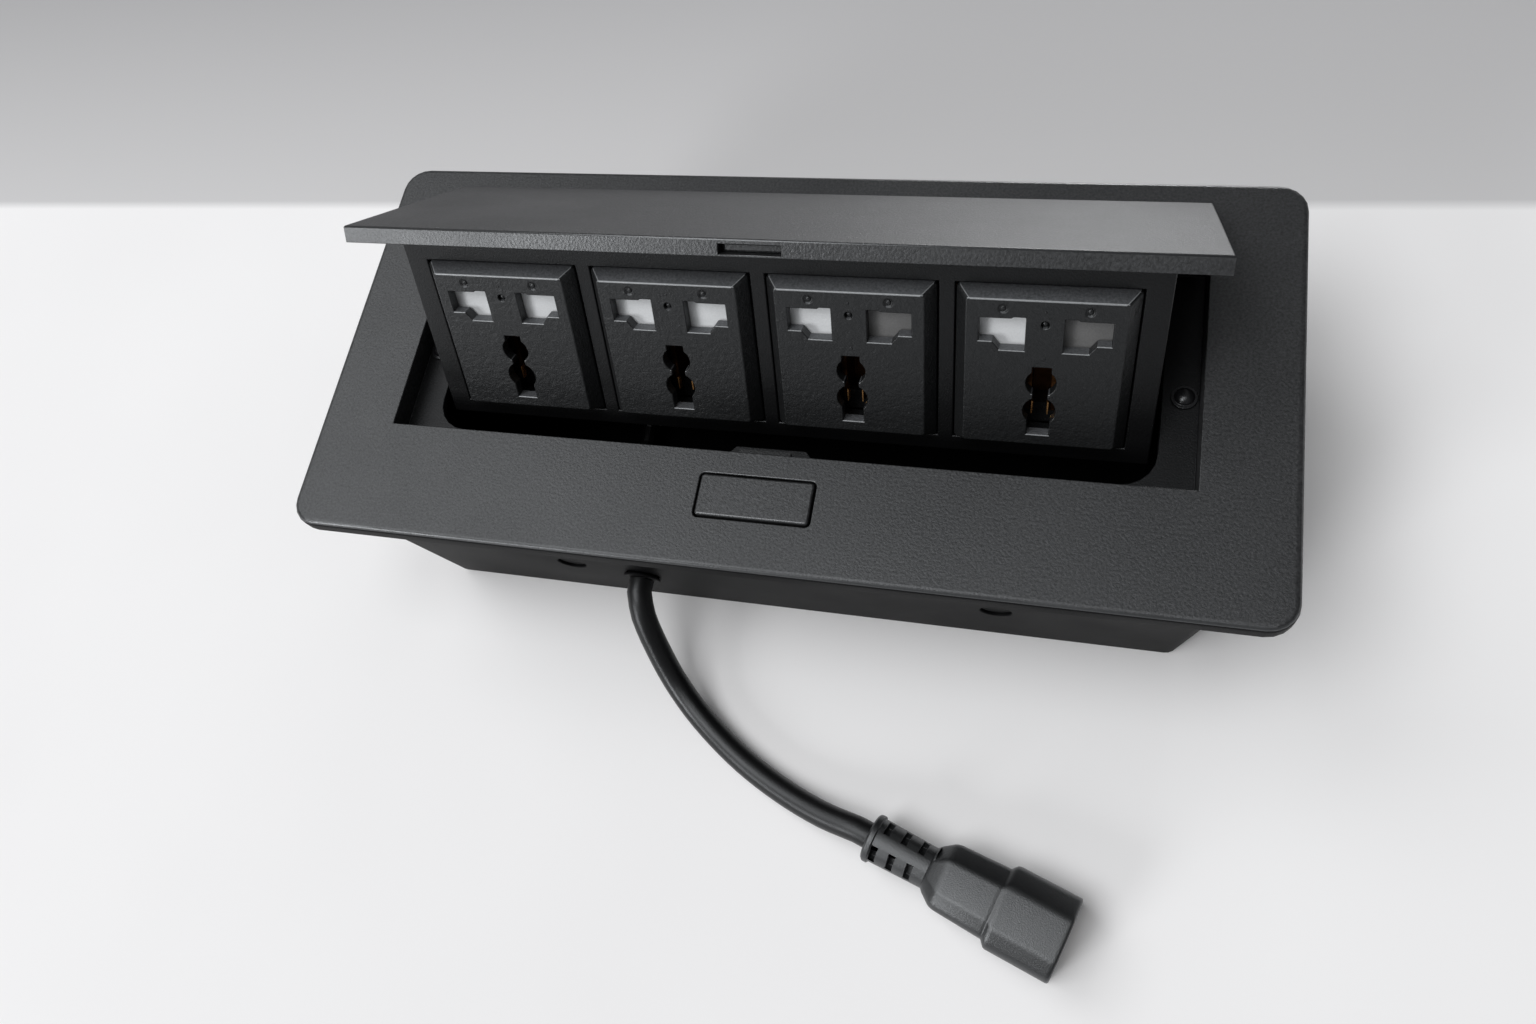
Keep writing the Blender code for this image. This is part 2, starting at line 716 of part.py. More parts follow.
def make_top_frame():
    half_x = PANEL_LENGTH / 2
    half_y = PANEL_DEPTH / 2
    frame = prism(rectangle(half_x, half_y, PANEL_CORNER), PANEL_UNDER, PANEL_HEIGHT)
    round_top_edge(frame, PANEL_HEIGHT, PANEL_EDGE)
    seat = rectangle(TUB_TOP_LENGTH / 2 + FIT_GAP, TUB_TOP_DEPTH / 2 + FIT_GAP, TUB_CORNER)
    cut(frame, prism(seat, PANEL_UNDER - PAST, SEAT_UNDER))
    tray_half = OPENING_LENGTH / 2 + TRAY_WALL
    tray_rear = OPENING_REAR + TRAY_WALL
    sunk = SEAT_UNDER + PANEL_THICKNESS / 4
    join(frame, box((-tray_half, OPENING_FRONT - TRAY_WALL, LEDGE_UNDER), (tray_half, tray_rear, sunk)))
    opening_half = OPENING_LENGTH / 2
    cut(frame, box((-opening_half, OPENING_FRONT, LEDGE_TOP),
                   (opening_half, OPENING_REAR, PANEL_HEIGHT + PAST)))
    hole_half = HOLE_LENGTH / 2
    hole_rear = tray_rear + PAST
    hole = [(-hole_half, HOLE_FRONT, HOLE_CORNER), (hole_half, HOLE_FRONT, HOLE_CORNER),
            (hole_half, hole_rear, 0.0), (-hole_half, hole_rear, 0.0)]
    cut(frame, prism(rounded(hole), LEDGE_UNDER - PAST, SEAT_UNDER + PANEL_SEAT))
    root = HOLE_FRONT - TRAY_WALL / 2
    tip = HOLE_FRONT + LIP_REACH
    lip = [(RELEASE_X - LIP_BASE / 2, root), (RELEASE_X + LIP_BASE / 2, root),
           (RELEASE_X + LIP_TIP / 2, tip), (RELEASE_X - LIP_TIP / 2, tip)]
    join(frame, prism(lip, LEDGE_UNDER, LEDGE_TOP))
    well_x = BUTTON_LENGTH / 2 + BUTTON_GAP
    well_y = BUTTON_DEPTH / 2 + BUTTON_GAP
    well = rectangle(well_x, well_y, BUTTON_CORNER + BUTTON_GAP, (RELEASE_X, BUTTON_Y))
    cut(frame, prism(well, PANEL_UNDER - PAST, PANEL_HEIGHT + PAST))
    channel_half = SLOT_WIDTH / 2
    channel_front = LATCH_LEG_FRONT - BUTTON_TRAVEL - FIT_GAP
    channel_top = PANEL_HEIGHT - SLOT_DROP
    channel_rear = OPENING_FRONT - TRAY_WALL + SWEEP_GAP
    cut(frame, box((RELEASE_X - channel_half, channel_front, LEDGE_UNDER - PAST),
                   (RELEASE_X + channel_half, channel_rear, channel_top)))
    cut(frame, box((RELEASE_X - channel_half, channel_front, channel_top - SLOT_HEIGHT),
                   (RELEASE_X + channel_half, OPENING_FRONT + PAST, channel_top)))
    for side in (-1, 1):
        cut(frame, rod(SCREW_STEM_RADIUS + FIT_GAP, (side * SCREW_X, 0, LEDGE_UNDER - PAST),
                       (side * SCREW_X, 0, LEDGE_TOP + PAST)))
    publish(frame, "top_frame", PANEL_FINISH)


def make_housing():
    tub = drafted([(0.0, *tub_half(0.0)), (TUB_TOP, *tub_half(TUB_TOP))], TUB_CORNER, TUB_FOOT)
    room = []
    for height in (TUB_FLOOR, TUB_TOP + PAST):
        half_x, half_y = tub_half(height)
        room.append((height, half_x - TUB_WALL, half_y - TUB_WALL))
    cut(tub, drafted(room, TUB_CORNER - TUB_WALL))
    post_top = LEDGE_UNDER - FIT_GAP
    screw_end = LEDGE_TOP - SCREW_STEM_LENGTH - FIT_GAP
    lug_front = PIVOT_Y - PIN_RADIUS - FIT_GAP - LUG_HEIGHT / 4
    lug_inner = CARRIER_LENGTH / 2 + LUG_GAP
    wall_middle = tub_half(PIVOT_Z)[1] - TUB_WALL / 2
    for side in (-1, 1):
        post = rod(POST_RADIUS, (side * SCREW_X, 0, TUB_FLOOR / 2), (side * SCREW_X, 0, post_top))
        join(tub, post)
        cut(tub, rod(SCREW_STEM_RADIUS + FIT_GAP, (side * SCREW_X, 0, screw_end),
                     (side * SCREW_X, 0, post_top + PAST)))
        middle = side * (lug_inner + LUG_THICKNESS / 2)
        lug = centred_box((middle, (lug_front + wall_middle) / 2, PIVOT_Z),
                          (LUG_THICKNESS, wall_middle - lug_front, LUG_HEIGHT))
        join(tub, lug)
        reach = LUG_THICKNESS / 2 + PAST
        cut(tub, rod(PIN_RADIUS + FIT_GAP, (middle - reach, PIVOT_Y, PIVOT_Z),
                     (middle + reach, PIVOT_Y, PIVOT_Z)))
        cut(tub, wall_hole(RELEASE_X + side * BLANK_X, BLANK_HEIGHT, BLANK_RADIUS))
    cut(tub, wall_hole(CORD_X, CORD_HEIGHT, GLAND_RADIUS + FIT_GAP))
    publish(tub, "housing", SHELL_FINISH)


def wall_hole(x, height, radius):
    wall = front_wall(x, height)
    return rod(radius, wall @ Vector((0, 0, -TUB_WALL - PAST)), wall @ Vector((0, 0, PAST)))


def make_frame_screw(name, side):
    seat = LEDGE_TOP + FIT_GAP
    shoulder = seat + SCREW_FLANGE
    dome = []
    for step in range(6):
        angle = math.pi / 2 * (1 - step / 5)
        dome.append((SCREW_DOME_RADIUS * math.cos(angle), shoulder + SCREW_DOME * math.sin(angle)))
    foot = LEDGE_TOP - SCREW_STEM_LENGTH
    profile = dome + [(SCREW_FLANGE_RADIUS, shoulder), (SCREW_FLANGE_RADIUS, seat),
                      (SCREW_STEM_RADIUS, seat), (SCREW_STEM_RADIUS, foot), (0.0, foot)]
    screw = turned(profile, Matrix.Translation((side * SCREW_X, 0, 0)))
    publish(screw, name, STEEL_FINISH, (side * SCREW_X, 0.0, LEDGE_TOP))


def make_knockout_plug(name, side):
    neck = BLANK_RADIUS - FIT_GAP
    flange = BLANK_RADIUS + BLANK_FLANGE
    behind = -TUB_WALL - FIT_GAP
    profile = [(0.0, -BLANK_RECESS), (neck, -BLANK_RECESS), (neck, behind), (flange, behind),
               (flange, behind - BLANK_FLANGE), (0.0, behind - BLANK_FLANGE)]
    publish(turned(profile, front_wall(RELEASE_X + side * BLANK_X, BLANK_HEIGHT)), name, SHELL_FINISH)


# The release button, its latch and their bracket

def make_button():
    half_x = BUTTON_LENGTH / 2
    half_y = BUTTON_DEPTH / 2
    top = PANEL_HEIGHT + BUTTON_PROUD
    centre = (RELEASE_X, BUTTON_Y)
    button = prism(rectangle(half_x, half_y, BUTTON_CORNER, centre), BUTTON_BOTTOM, top)
    round_top_edge(button, top, BUTTON_EDGE, 2)
    ear_half = half_x + EAR_REACH
    join(button, box((RELEASE_X - ear_half, BUTTON_Y - EAR_DEPTH / 2, BUTTON_BOTTOM),
                     (RELEASE_X + ear_half, BUTTON_Y + EAR_DEPTH / 2, BUTTON_BOTTOM + EAR_THICKNESS)))
    front = BUTTON_Y - half_y + BUTTON_EDGE
    sunk = BUTTON_BOTTOM + EAR_THICKNESS / 2
    stem = [(STEM_REAR_Y, sunk), (front, sunk), (front, STEM_BOTTOM + STEM_NOSE_Y - front),
            (STEM_NOSE_Y, STEM_BOTTOM), (STEM_REAR_Y, STEM_BOTTOM)]
    join(button, prism(stem, RELEASE_X - STEM_WIDTH / 2, RELEASE_X + STEM_WIDTH / 2, SIDEWAYS))
    publish(button, "release_button", PANEL_FINISH, (RELEASE_X, BUTTON_Y, BUTTON_BOTTOM))


def make_latch():
    half = LATCH_WIDTH / 2
    leg_rear = LATCH_LEG_FRONT + LATCH_LEG
    tip = OPENING_FRONT + LATCH_REACH
    tongue_top = PANEL_HEIGHT - SLOT_DROP - FIT_GAP
    tongue_low = tongue_top - SLOT_HEIGHT + 2 * FIT_GAP
    side_view = [(LATCH_FRONT, LATCH_BOTTOM), (leg_rear, LATCH_BOTTOM), (leg_rear, tongue_low),
                 (tip, tongue_low), (tip, tongue_top), (LATCH_LEG_FRONT, tongue_top),
                 (LATCH_LEG_FRONT, LATCH_TOP), (LATCH_FRONT, LATCH_TOP)]
    latch = prism(side_view, RELEASE_X - half, RELEASE_X + half, SIDEWAYS)
    window_half = STEM_WIDTH / 2 + FIT_GAP
    window_rear = STEM_REAR_Y + BUTTON_TRAVEL + FIT_GAP
    cut(latch, box((RELEASE_X - window_half, LATCH_WINDOW_FRONT, LATCH_BOTTOM - PAST),
                   (RELEASE_X + window_half, window_rear, LATCH_TOP + PAST)))
    publish(latch, "latch", SHELL_FINISH, (RELEASE_X, LATCH_FRONT, LATCH_BOTTOM))


def make_release_bracket():
    half = BRACKET_LENGTH / 2
    floor = BRACKET_TOP - BRACKET_WALL
    front = LATCH_FRONT - BRACKET_SPRING_ROOM
    rear = OPENING_FRONT - TRAY_WALL - FIT_GAP
    top = SEAT_UNDER - FIT_GAP
    bracket = box((RELEASE_X - half, front - BRACKET_WALL, floor), (RELEASE_X + half, rear, top))
    cut(bracket, box((RELEASE_X - half + BRACKET_WALL, front, BRACKET_TOP),
                     (RELEASE_X + half - BRACKET_WALL, rear + PAST, top + PAST)))
    publish(bracket, "release_bracket", SHELL_FINISH)


def make_coil_spring(name, radius, turns, start, end):
    """A compression spring between two seats, standing clear of both by the fit gap."""
    along = (Vector(end) - Vector(start)).normalized()
    room = (Vector(end) - Vector(start)).length - 2 * (FIT_GAP + SPRING_WIRE_RADIUS)
    sideways = (1, 0, 0)
    frame = axes(Vector(start) + along * (FIT_GAP + SPRING_WIRE_RADIUS), sideways, along)
    spring = tube(helix(radius, room, turns, frame), SPRING_WIRE_RADIUS, 1)
    publish(spring, name, STEEL_FINISH, start)


def make_release_springs():
    for name, side in (("button_spring_left", -1), ("button_spring_right", 1)):
        x = RELEASE_X + side * (BUTTON_LENGTH / 2 - BUTTON_SPRING_INSET)
        make_coil_spring(name, BUTTON_SPRING_RADIUS, BUTTON_SPRING_TURNS,
                         (x, BUTTON_Y, BRACKET_TOP), (x, BUTTON_Y, BUTTON_BOTTOM))
    middle = (LATCH_BOTTOM + LATCH_TOP) / 2
    make_coil_spring("latch_spring", LATCH_SPRING_RADIUS, LATCH_SPRING_TURNS,
                     (RELEASE_X, LATCH_FRONT - BRACKET_SPRING_ROOM, middle), (RELEASE_X, LATCH_FRONT, middle))


# Pivot pins and torsion springs

def make_pivot(suffix, side):
    outer = CARRIER_LENGTH / 2 + LUG_GAP + LUG_THICKNESS
    pin = rod(PIN_RADIUS, (side * (outer - PIN_LENGTH), PIVOT_Y, PIVOT_Z), (side * outer, PIVOT_Y, PIVOT_Z))
    publish(pin, "pivot_pin_" + suffix, STEEL_FINISH, PIVOT)
    arm_inner = CARRIER_LENGTH / 2 - ARM_THICKNESS
    first = arm_inner - FIT_GAP - SPRING_WIRE_RADIUS
    frame = axes((side * first, PIVOT_Y, PIVOT_Z), (0, 0, -1), (-side, 0, 0))
    coil = helix(TORSION_RADIUS, TORSION_LENGTH, TORSION_TURNS, frame)
    down = arm_under(TORSION_LEG)
    hook = Vector((coil[0].x, PIVOT_Y - TORSION_LEG, down))
    hook_end = hook + Vector((side * TORSION_HOOK, 0, 0))
    rest_y = tub_half(coil[-1].z)[1] - TUB_WALL - FIT_GAP - SPRING_WIRE_RADIUS
    rest = Vector((coil[-1].x, rest_y, coil[-1].z))
    path = [hook_end, hook, *coil, rest]
    publish(tube(path, SPRING_WIRE_RADIUS, 1), "torsion_spring_" + suffix, STEEL_FINISH, PIVOT)


def arm_under(reach):
    """Height of a wire that lies under the open carrier's arm at a distance in front of the pivot."""
    slope = math.atan2(ARM_ROOT - BOSS_RADIUS, PIVOT_Y - CARRIER_REAR) - OPEN_ANGLE
    drop = (BOSS_RADIUS + FIT_GAP + SPRING_WIRE_RADIUS) / math.cos(slope)
    return PIVOT_Z - drop - reach * math.tan(slope)


# The lid and the socket carrier, drawn shut

def make_lid():
    half = LID_LENGTH / 2
    middle = (LID_FRONT + LID_REAR) / 2
    outline = rectangle(half, (LID_REAR - LID_FRONT) / 2, LID_EDGE, (0.0, middle))
    lid = prism(outline, LID_UNDER, PANEL_HEIGHT)
    round_top_edge(lid, PANEL_HEIGHT, LID_EDGE, 2)
    slot_top = PANEL_HEIGHT - SLOT_DROP
    cut(lid, box((RELEASE_X - SLOT_WIDTH / 2, LID_FRONT - PAST, slot_top - SLOT_HEIGHT),
                 (RELEASE_X + SLOT_WIDTH / 2, LID_FRONT + SLOT_DEPTH, slot_top)))
    cut(lid, rod(SWEEP_RADIUS, (-half - PAST, PIVOT_Y, PIVOT_Z), (half + PAST, PIVOT_Y, PIVOT_Z), 96))
    publish(lid, "lid", PANEL_FINISH, PIVOT, CARRIER_AXIS)


def carrier_outline(inset, floor_inset, rear):
    """Side view of the carrier's casing, drawn in by a wall at the front and a floor above and below."""
    out = -FACE_RISE - inset
    low = CARRIER_LOW + floor_inset
    high = CARRIER_TOP - floor_inset
    base_y, base_z = face_point(0.0, out)
    low_front = base_y + (low - base_z) * FACE_UP.y / FACE_UP.z
    high_front = base_y + (high - base_z) * FACE_UP.y / FACE_UP.z
    return [(low_front, low), (rear, low), (rear, high), (high_front, high)]


def make_carrier():
    half = CARRIER_LENGTH / 2
    carrier = prism(carrier_outline(0.0, 0.0, CARRIER_REAR), -half, half, SIDEWAYS)
    hollow = carrier_outline(CARRIER_WALL, CARRIER_FLOOR, CARRIER_REAR + PAST)
    cut(carrier, prism(hollow, CARRIER_WALL - half, half - CARRIER_WALL, SIDEWAYS))
    lean = Matrix.Rotation(math.pi / 2 + FACE_LEAN, 4, "X")
    for index in range(SOCKET_COUNT):
        place = Matrix.Translation(FACE_CENTRE + Vector((socket_x(index), 0, 0))) @ lean
        size = (BASE_WIDTH + 2 * FIT_GAP, BASE_HEIGHT + 2 * FIT_GAP, CARRIER_WALL + 2 * PAST)
        cut(carrier, moved(centred_box((0, 0, -FACE_RISE - CARRIER_WALL / 2), size), place))
    root = CARRIER_REAR - CARRIER_WALL
    arm = [(root, PIVOT_Z + ARM_RISE), (root, PIVOT_Z - ARM_ROOT), (PIVOT_Y, PIVOT_Z - BOSS_RADIUS),
           (PIVOT_Y, PIVOT_Z + ARM_RISE)]
    for side in (-1, 1):
        inner = side * (half - ARM_THICKNESS)
        outer = side * half
        join(carrier, prism(arm, min(inner, outer), max(inner, outer), SIDEWAYS))
        join(carrier, rod(BOSS_RADIUS, (inner, PIVOT_Y, PIVOT_Z), (outer, PIVOT_Y, PIVOT_Z)))
        cut(carrier, rod(PIN_RADIUS + FIT_GAP, (inner - side * PAST, PIVOT_Y, PIVOT_Z),
                         (outer + side * PAST, PIVOT_Y, PIVOT_Z)))
    publish(carrier, "socket_carrier", SHELL_FINISH, PIVOT, CARRIER_AXIS)


def make_rear_cover():
    half = CARRIER_LENGTH / 2 - ARM_THICKNESS - FIT_GAP
    front = CARRIER_REAR + FIT_GAP
    cover = box((-half, front, CARRIER_LOW), (half, front + COVER_THICKNESS, CARRIER_TOP))
    cut(cover, rod(COVER_HOLE_RADIUS, (JUMPER_X, front - PAST, COVER_HOLE_HEIGHT),
                   (JUMPER_X, front + COVER_THICKNESS + PAST, COVER_HOLE_HEIGHT)))
    publish(cover, "rear_cover", SHELL_FINISH, PIVOT, CARRIER_AXIS)


# One socket, drawn in its own frame: X across, Y up the face, Z out of it

def aperture(side):
    step_top = APERTURE_TOP + APERTURE_STEP
    step_side = APERTURE_STEP_END - APERTURE_STEP
    corners = [(APERTURE_INNER, APERTURE_BOTTOM), (APERTURE_BEND_INNER, APERTURE_BOTTOM),
               (APERTURE_BEND_OUTER, APERTURE_SHOULDER), (APERTURE_OUTER, APERTURE_SHOULDER),
               (APERTURE_OUTER, APERTURE_TOP), (APERTURE_STEP_END, APERTURE_TOP), (step_side, step_top),
               (APERTURE_INNER, step_top)]
    return [(side * x, y) for x, y in corners]


def make_face_mesh():
    base_half = (BASE_WIDTH / 2, BASE_HEIGHT / 2)
    top_half = (FACE_WIDTH / 2, FACE_HEIGHT / 2)
    cap = drafted([(-CAP_DEPTH, *base_half), (-FACE_RISE, *base_half), (0.0, *top_half)], FACE_CORNER)
    room_half = (BASE_WIDTH / 2 - CAP_WALL, BASE_HEIGHT / 2 - CAP_WALL)
    cut(cap, drafted([(-CAP_DEPTH - PAST, *room_half), (-FACE_RISE, *room_half),
                      (-FACE_SKIN, FACE_WIDTH / 2 - CAP_WALL, FACE_HEIGHT / 2 - CAP_WALL)], FACE_CORNER))
    deep = -FACE_SKIN - PAST
    for side in (-1, 1):
        cut(cap, prism(aperture(side), deep, PAST))
        cut(cap, rod(PIP_RADIUS, (side * PIP_X, PIP_Y, -PIP_DEPTH), (side * PIP_X, PIP_Y, PAST), 12))
    cut(cap, rod(CENTRE_HOLE_RADIUS, (0, CENTRE_HOLE_Y, -CENTRE_HOLE_DEPTH), (0, CENTRE_HOLE_Y, PAST), 12))
    key = rod(KEY_UPPER_RADIUS, (0, -KEY_UPPER_DROP, deep), (0, -KEY_UPPER_DROP, PAST), 20)
    join(key, rod(KEY_LOWER_RADIUS, (0, -KEY_LOWER_DROP, deep), (0, -KEY_LOWER_DROP, PAST), 20))
    join(key, box((-KEY_TOP_WIDTH / 2, -KEY_UPPER_DROP, deep), (KEY_TOP_WIDTH / 2, KEY_TOP, PAST)))
    join(key, box((-KEY_NECK_WIDTH / 2, -KEY_LOWER_DROP, deep), (KEY_NECK_WIDTH / 2, -KEY_UPPER_DROP, PAST)))
    join(key, box((-KEY_FOOT_WIDTH / 2, -KEY_FOOT_DROP, deep), (KEY_FOOT_WIDTH / 2, -KEY_LOWER_DROP, PAST)))
    cut(cap, key)
    return shape_mesh(cap, SOCKET_FINISH)


def make_shutter_mesh():
    outer = APERTURE_OUTER + SHUTTER_MARGIN
    inner = APERTURE_INNER - SHUTTER_MARGIN
    low = APERTURE_BOTTOM - SHUTTER_MARGIN
    high = APERTURE_TOP + APERTURE_STEP + SHUTTER_MARGIN
    arch = high - SHUTTER_BRIDGE
    outline = [(-outer, low), (-inner, low), (-inner, arch), (inner, arch), (inner, low), (outer, low),
               (outer, high), (-outer, high)]
    front = -FACE_SKIN - FIT_GAP
    return shape_mesh(prism(outline, front - SHUTTER_THICKNESS, front), SHUTTER_FINISH)


def contact_places():
    """Each contact's name, place, clip size, slot width and the height of its tail."""
    pin_size = (PIN_CONTACT_WIDTH, PIN_CONTACT_HEIGHT)
    earth_size = (EARTH_CONTACT_WIDTH, EARTH_CONTACT_HEIGHT)
    return [
        ("line", (-PIN_CONTACT_X, PIN_CONTACT_Y), pin_size, PIN_CONTACT_SLOT, PIN_CONTACT_Y + TAIL_OFFSET),
        ("neutral", (PIN_CONTACT_X, PIN_CONTACT_Y), pin_size, PIN_CONTACT_SLOT, PIN_CONTACT_Y - TAIL_OFFSET),
        ("earth", (0.0, -EARTH_CONTACT_DROP), earth_size, EARTH_CONTACT_SLOT, -EARTH_CONTACT_DROP),
    ]


def contact_shape(place, size, tail_y, grow, front, rear):
    """A contact's clip and tail, or with a positive grow the pocket that it sits in."""
    x, y = place
    half_x = size[0] / 2 + grow
    half_y = size[1] / 2 + grow
    tail = TAIL_SIZE / 2 + grow
    clip_rear = -CONTACT_CLIP_REAR - grow
    shape = box((x - half_x, y - half_y, clip_rear), (x + half_x, y + half_y, front))
    join(shape, box((x - tail, tail_y - tail, rear), (x + tail, tail_y + tail, clip_rear + TAIL_SIZE / 2)))
    return shape


def make_contact_mesh(place, size, slot, tail_y):
    contact = contact_shape(place, size, tail_y, 0.0, -CONTACT_FRONT, -BACK_REAR)
    slot_rear = TAIL_SIZE - CONTACT_CLIP_REAR
    cut(contact, box((place[0] - slot / 2, place[1] - size[1], slot_rear),
                     (place[0] + slot / 2, place[1] + size[1], PAST - CONTACT_FRONT)))
    return shape_mesh(contact, BRASS_FINISH)


def make_back_mesh():
    half = BASE_WIDTH / 2 - BACK_SIDE_GAP / 2
    front = -CAP_DEPTH - FIT_GAP
    back = box((-half, -BACK_DROP, -BACK_REAR), (half, BACK_RISE, front))
    for name, place, size, slot, tail_y in contact_places():
        cut(back, contact_shape(place, size, tail_y, FIT_GAP, front + PAST, -BACK_REAR - PAST))
    return shape_mesh(back, SOCKET_FINISH)


def make_sockets():
    face = make_face_mesh()
    shutter = make_shutter_mesh()
    back = make_back_mesh()
    contacts = {}
    for name, place, size, slot, tail_y in contact_places():
        contacts[name] = make_contact_mesh(place, size, slot, tail_y)
    for index in range(SOCKET_COUNT):
        number = str(index + 1)
        publish_on_face(face, "socket_face_" + number, SOCKET_FINISH, index)
        publish_on_face(shutter, "shutter_" + number, SHUTTER_FINISH, index)
        publish_on_face(back, "socket_back_" + number, SOCKET_FINISH, index)
        for name, mesh in contacts.items():
            publish_on_face(mesh, name + "_contact_" + number, BRASS_FINISH, index)


def make_busbars():
    half = SOCKET_PITCH * (SOCKET_COUNT - 1) / 2 + BUSBAR_OVERHANG
    front = -BACK_REAR - FIT_GAP
    for name, place, size, slot, tail_y in contact_places():
        low = (-half, tail_y - TAIL_SIZE / 2, front - BUSBAR_THICKNESS)
        high = (half, tail_y + TAIL_SIZE / 2, front)
        mesh = shape_mesh(box(low, high), BRASS_FINISH)
        bar = publish_on_face(mesh, name + "_busbar", BRASS_FINISH, 0)
        bar.location.x = 0.0


# The lead: gland, wiring inside, cord and plug

def cord_wall():
    """Where the front wall stands at the height of the cord."""
    return -tub_half(CORD_HEIGHT)[1]


def plug_start():
    """The end of the plug where the cord meets it; the plug rests on the floor."""
    return Vector((CORD_X + PLUG_RIGHT, cord_wall() - PLUG_FORWARD, SHROUD_HEIGHT / 2 + FLOOR_GAP))


def make_gland():
    behind = -TUB_WALL - FIT_GAP
    profile = [(0.0, GLAND_LIP), (GLAND_LIP_RADIUS, GLAND_LIP), (GLAND_LIP_RADIUS, FIT_GAP),
               (GLAND_RADIUS, FIT_GAP), (GLAND_RADIUS, behind), (GLAND_NUT_RADIUS, behind),
               (GLAND_NUT_RADIUS, behind - GLAND_NUT), (0.0, behind - GLAND_NUT)]
    publish(turned(profile, front_wall(CORD_X, CORD_HEIGHT)), "cord_gland", SHELL_FINISH)


def lead(start, leaving, route, end, arriving, diameter):
    """A cord or wire that leaves one flat face squarely and meets another squarely."""
    straight = diameter / 2
    middle = smooth_path([start + leaving * straight, *route, end - arriving * straight], diameter)
    return tube([start, *middle, end], diameter / 2, 3)


def make_wiring():
    low = TUB_FLOOR + FIT_GAP
    block_top = low + BLOCK_HEIGHT
    block_rear = BLOCK_FRONT + BLOCK_DEPTH
    block_middle = BLOCK_FRONT + BLOCK_DEPTH / 2
    block = centred_box(((CORD_X + JUMPER_X) / 2, block_middle, low + BLOCK_HEIGHT / 2),
                        (BLOCK_LENGTH, BLOCK_DEPTH, BLOCK_HEIGHT))
    publish(block, "terminal_block", BLOCK_FINISH)
    wall = front_wall(CORD_X, CORD_HEIGHT)
    start = wall @ Vector((0, 0, -TUB_WALL - GLAND_NUT - 2 * FIT_GAP))
    inward = wall.to_3x3() @ Vector((0, 0, -1))
    end = Vector((CORD_X, block_middle, block_top + FIT_GAP))
    publish(lead(start, inward, [], end, Vector((0, 0, -1)), WIRE_DIAMETER), "inner_lead", CORD_FINISH)
    turn = Matrix.Rotation(-OPEN_ANGLE, 3, "X")
    mouth_y = CARRIER_REAR + COVER_THICKNESS + 2 * FIT_GAP
    mouth = PIVOT + turn @ (Vector((JUMPER_X, mouth_y, COVER_HOLE_HEIGHT)) - PIVOT)
    behind = turn @ Vector((0, 1, 0))
    start = Vector((JUMPER_X, block_rear + FIT_GAP, low + BLOCK_HEIGHT / 2))
    resting = low + WIRE_DIAMETER
    route = [Vector((JUMPER_X, 0.0, resting)), Vector((JUMPER_X, PIVOT_Y / 3, 2 * resting)),
             mouth + behind * 2 * WIRE_DIAMETER]
    jumper = lead(start, Vector((0, 1, 0)), route, mouth, -behind, WIRE_DIAMETER)
    publish(jumper, "jumper_lead", CORD_FINISH)


def make_cord():
    wall = front_wall(CORD_X, CORD_HEIGHT)
    start = wall @ Vector((0, 0, GLAND_LIP + FIT_GAP))
    outward = wall.to_3x3() @ Vector((0, 0, 1))
    heading = Vector((math.cos(PLUG_HEADING), math.sin(PLUG_HEADING), 0))
    end = plug_start() - heading * FIT_GAP
    route = []
    for right, forward, height in CORD_ROUTE:
        route.append(Vector((CORD_X + right, cord_wall() - forward, height)))
    publish(lead(start, outward, route, end, heading, CORD_DIAMETER), "power_cord", CORD_FINISH)


def plug_piece(item, name, finish):
    piece = publish(item, name, finish)
    piece.location = plug_start()
    piece.rotation_euler.z = PLUG_HEADING


def make_plug_overmould():
    collar_edge = COLLAR_RADIUS - RELIEF_RADIUS
    along = axes((0, 0, 0), (0, 1, 0), (1, 0, 0))
    neck_inside = NECK_END + PAST
    profile = [(0.0, neck_inside), (NECK_RADIUS, neck_inside), (RELIEF_RADIUS, COLLAR_LENGTH + collar_edge),
               (RELIEF_RADIUS, COLLAR_LENGTH), (COLLAR_RADIUS, COLLAR_LENGTH), (COLLAR_RADIUS, collar_edge),
               (COLLAR_RADIUS - collar_edge, 0.0), (0.0, 0.0)]
    body = turned(profile, along)
    for ring in range(RELIEF_SLOTS):
        for turn in range(4):
            start = COLLAR_LENGTH + FIT_GAP + RELIEF_PITCH * ring + RELIEF_STAGGER * (turn % 2)
            slot = box((start, -RELIEF_SLOT_LENGTH / 2, NECK_RADIUS - RELIEF_SLOT_DEPTH),
                       (start + RELIEF_SLOT_WIDTH, RELIEF_SLOT_LENGTH / 2, COLLAR_RADIUS + PAST))
            cut(body, moved(slot, Matrix.Rotation(math.pi / 4 + turn * math.pi / 2, 4, "X")))
    half = (GRIP_WIDTH / 2, GRIP_HEIGHT / 2)
    shoulder = [NECK_RADIUS + (size - NECK_RADIUS) * GRIP_SHOULDER_SHARE for size in half]
    root = NECK_RADIUS + FIT_GAP
    grip = drafted([(NECK_END, root, root), (NECK_END + GRIP_SHOULDER, *shoulder),
                    (GRIP_START, *half), (GRIP_END, *half)], GRIP_CORNER)
    join(body, moved(grip, along))
    plug_piece(body, "plug_overmould", PLUG_FINISH)


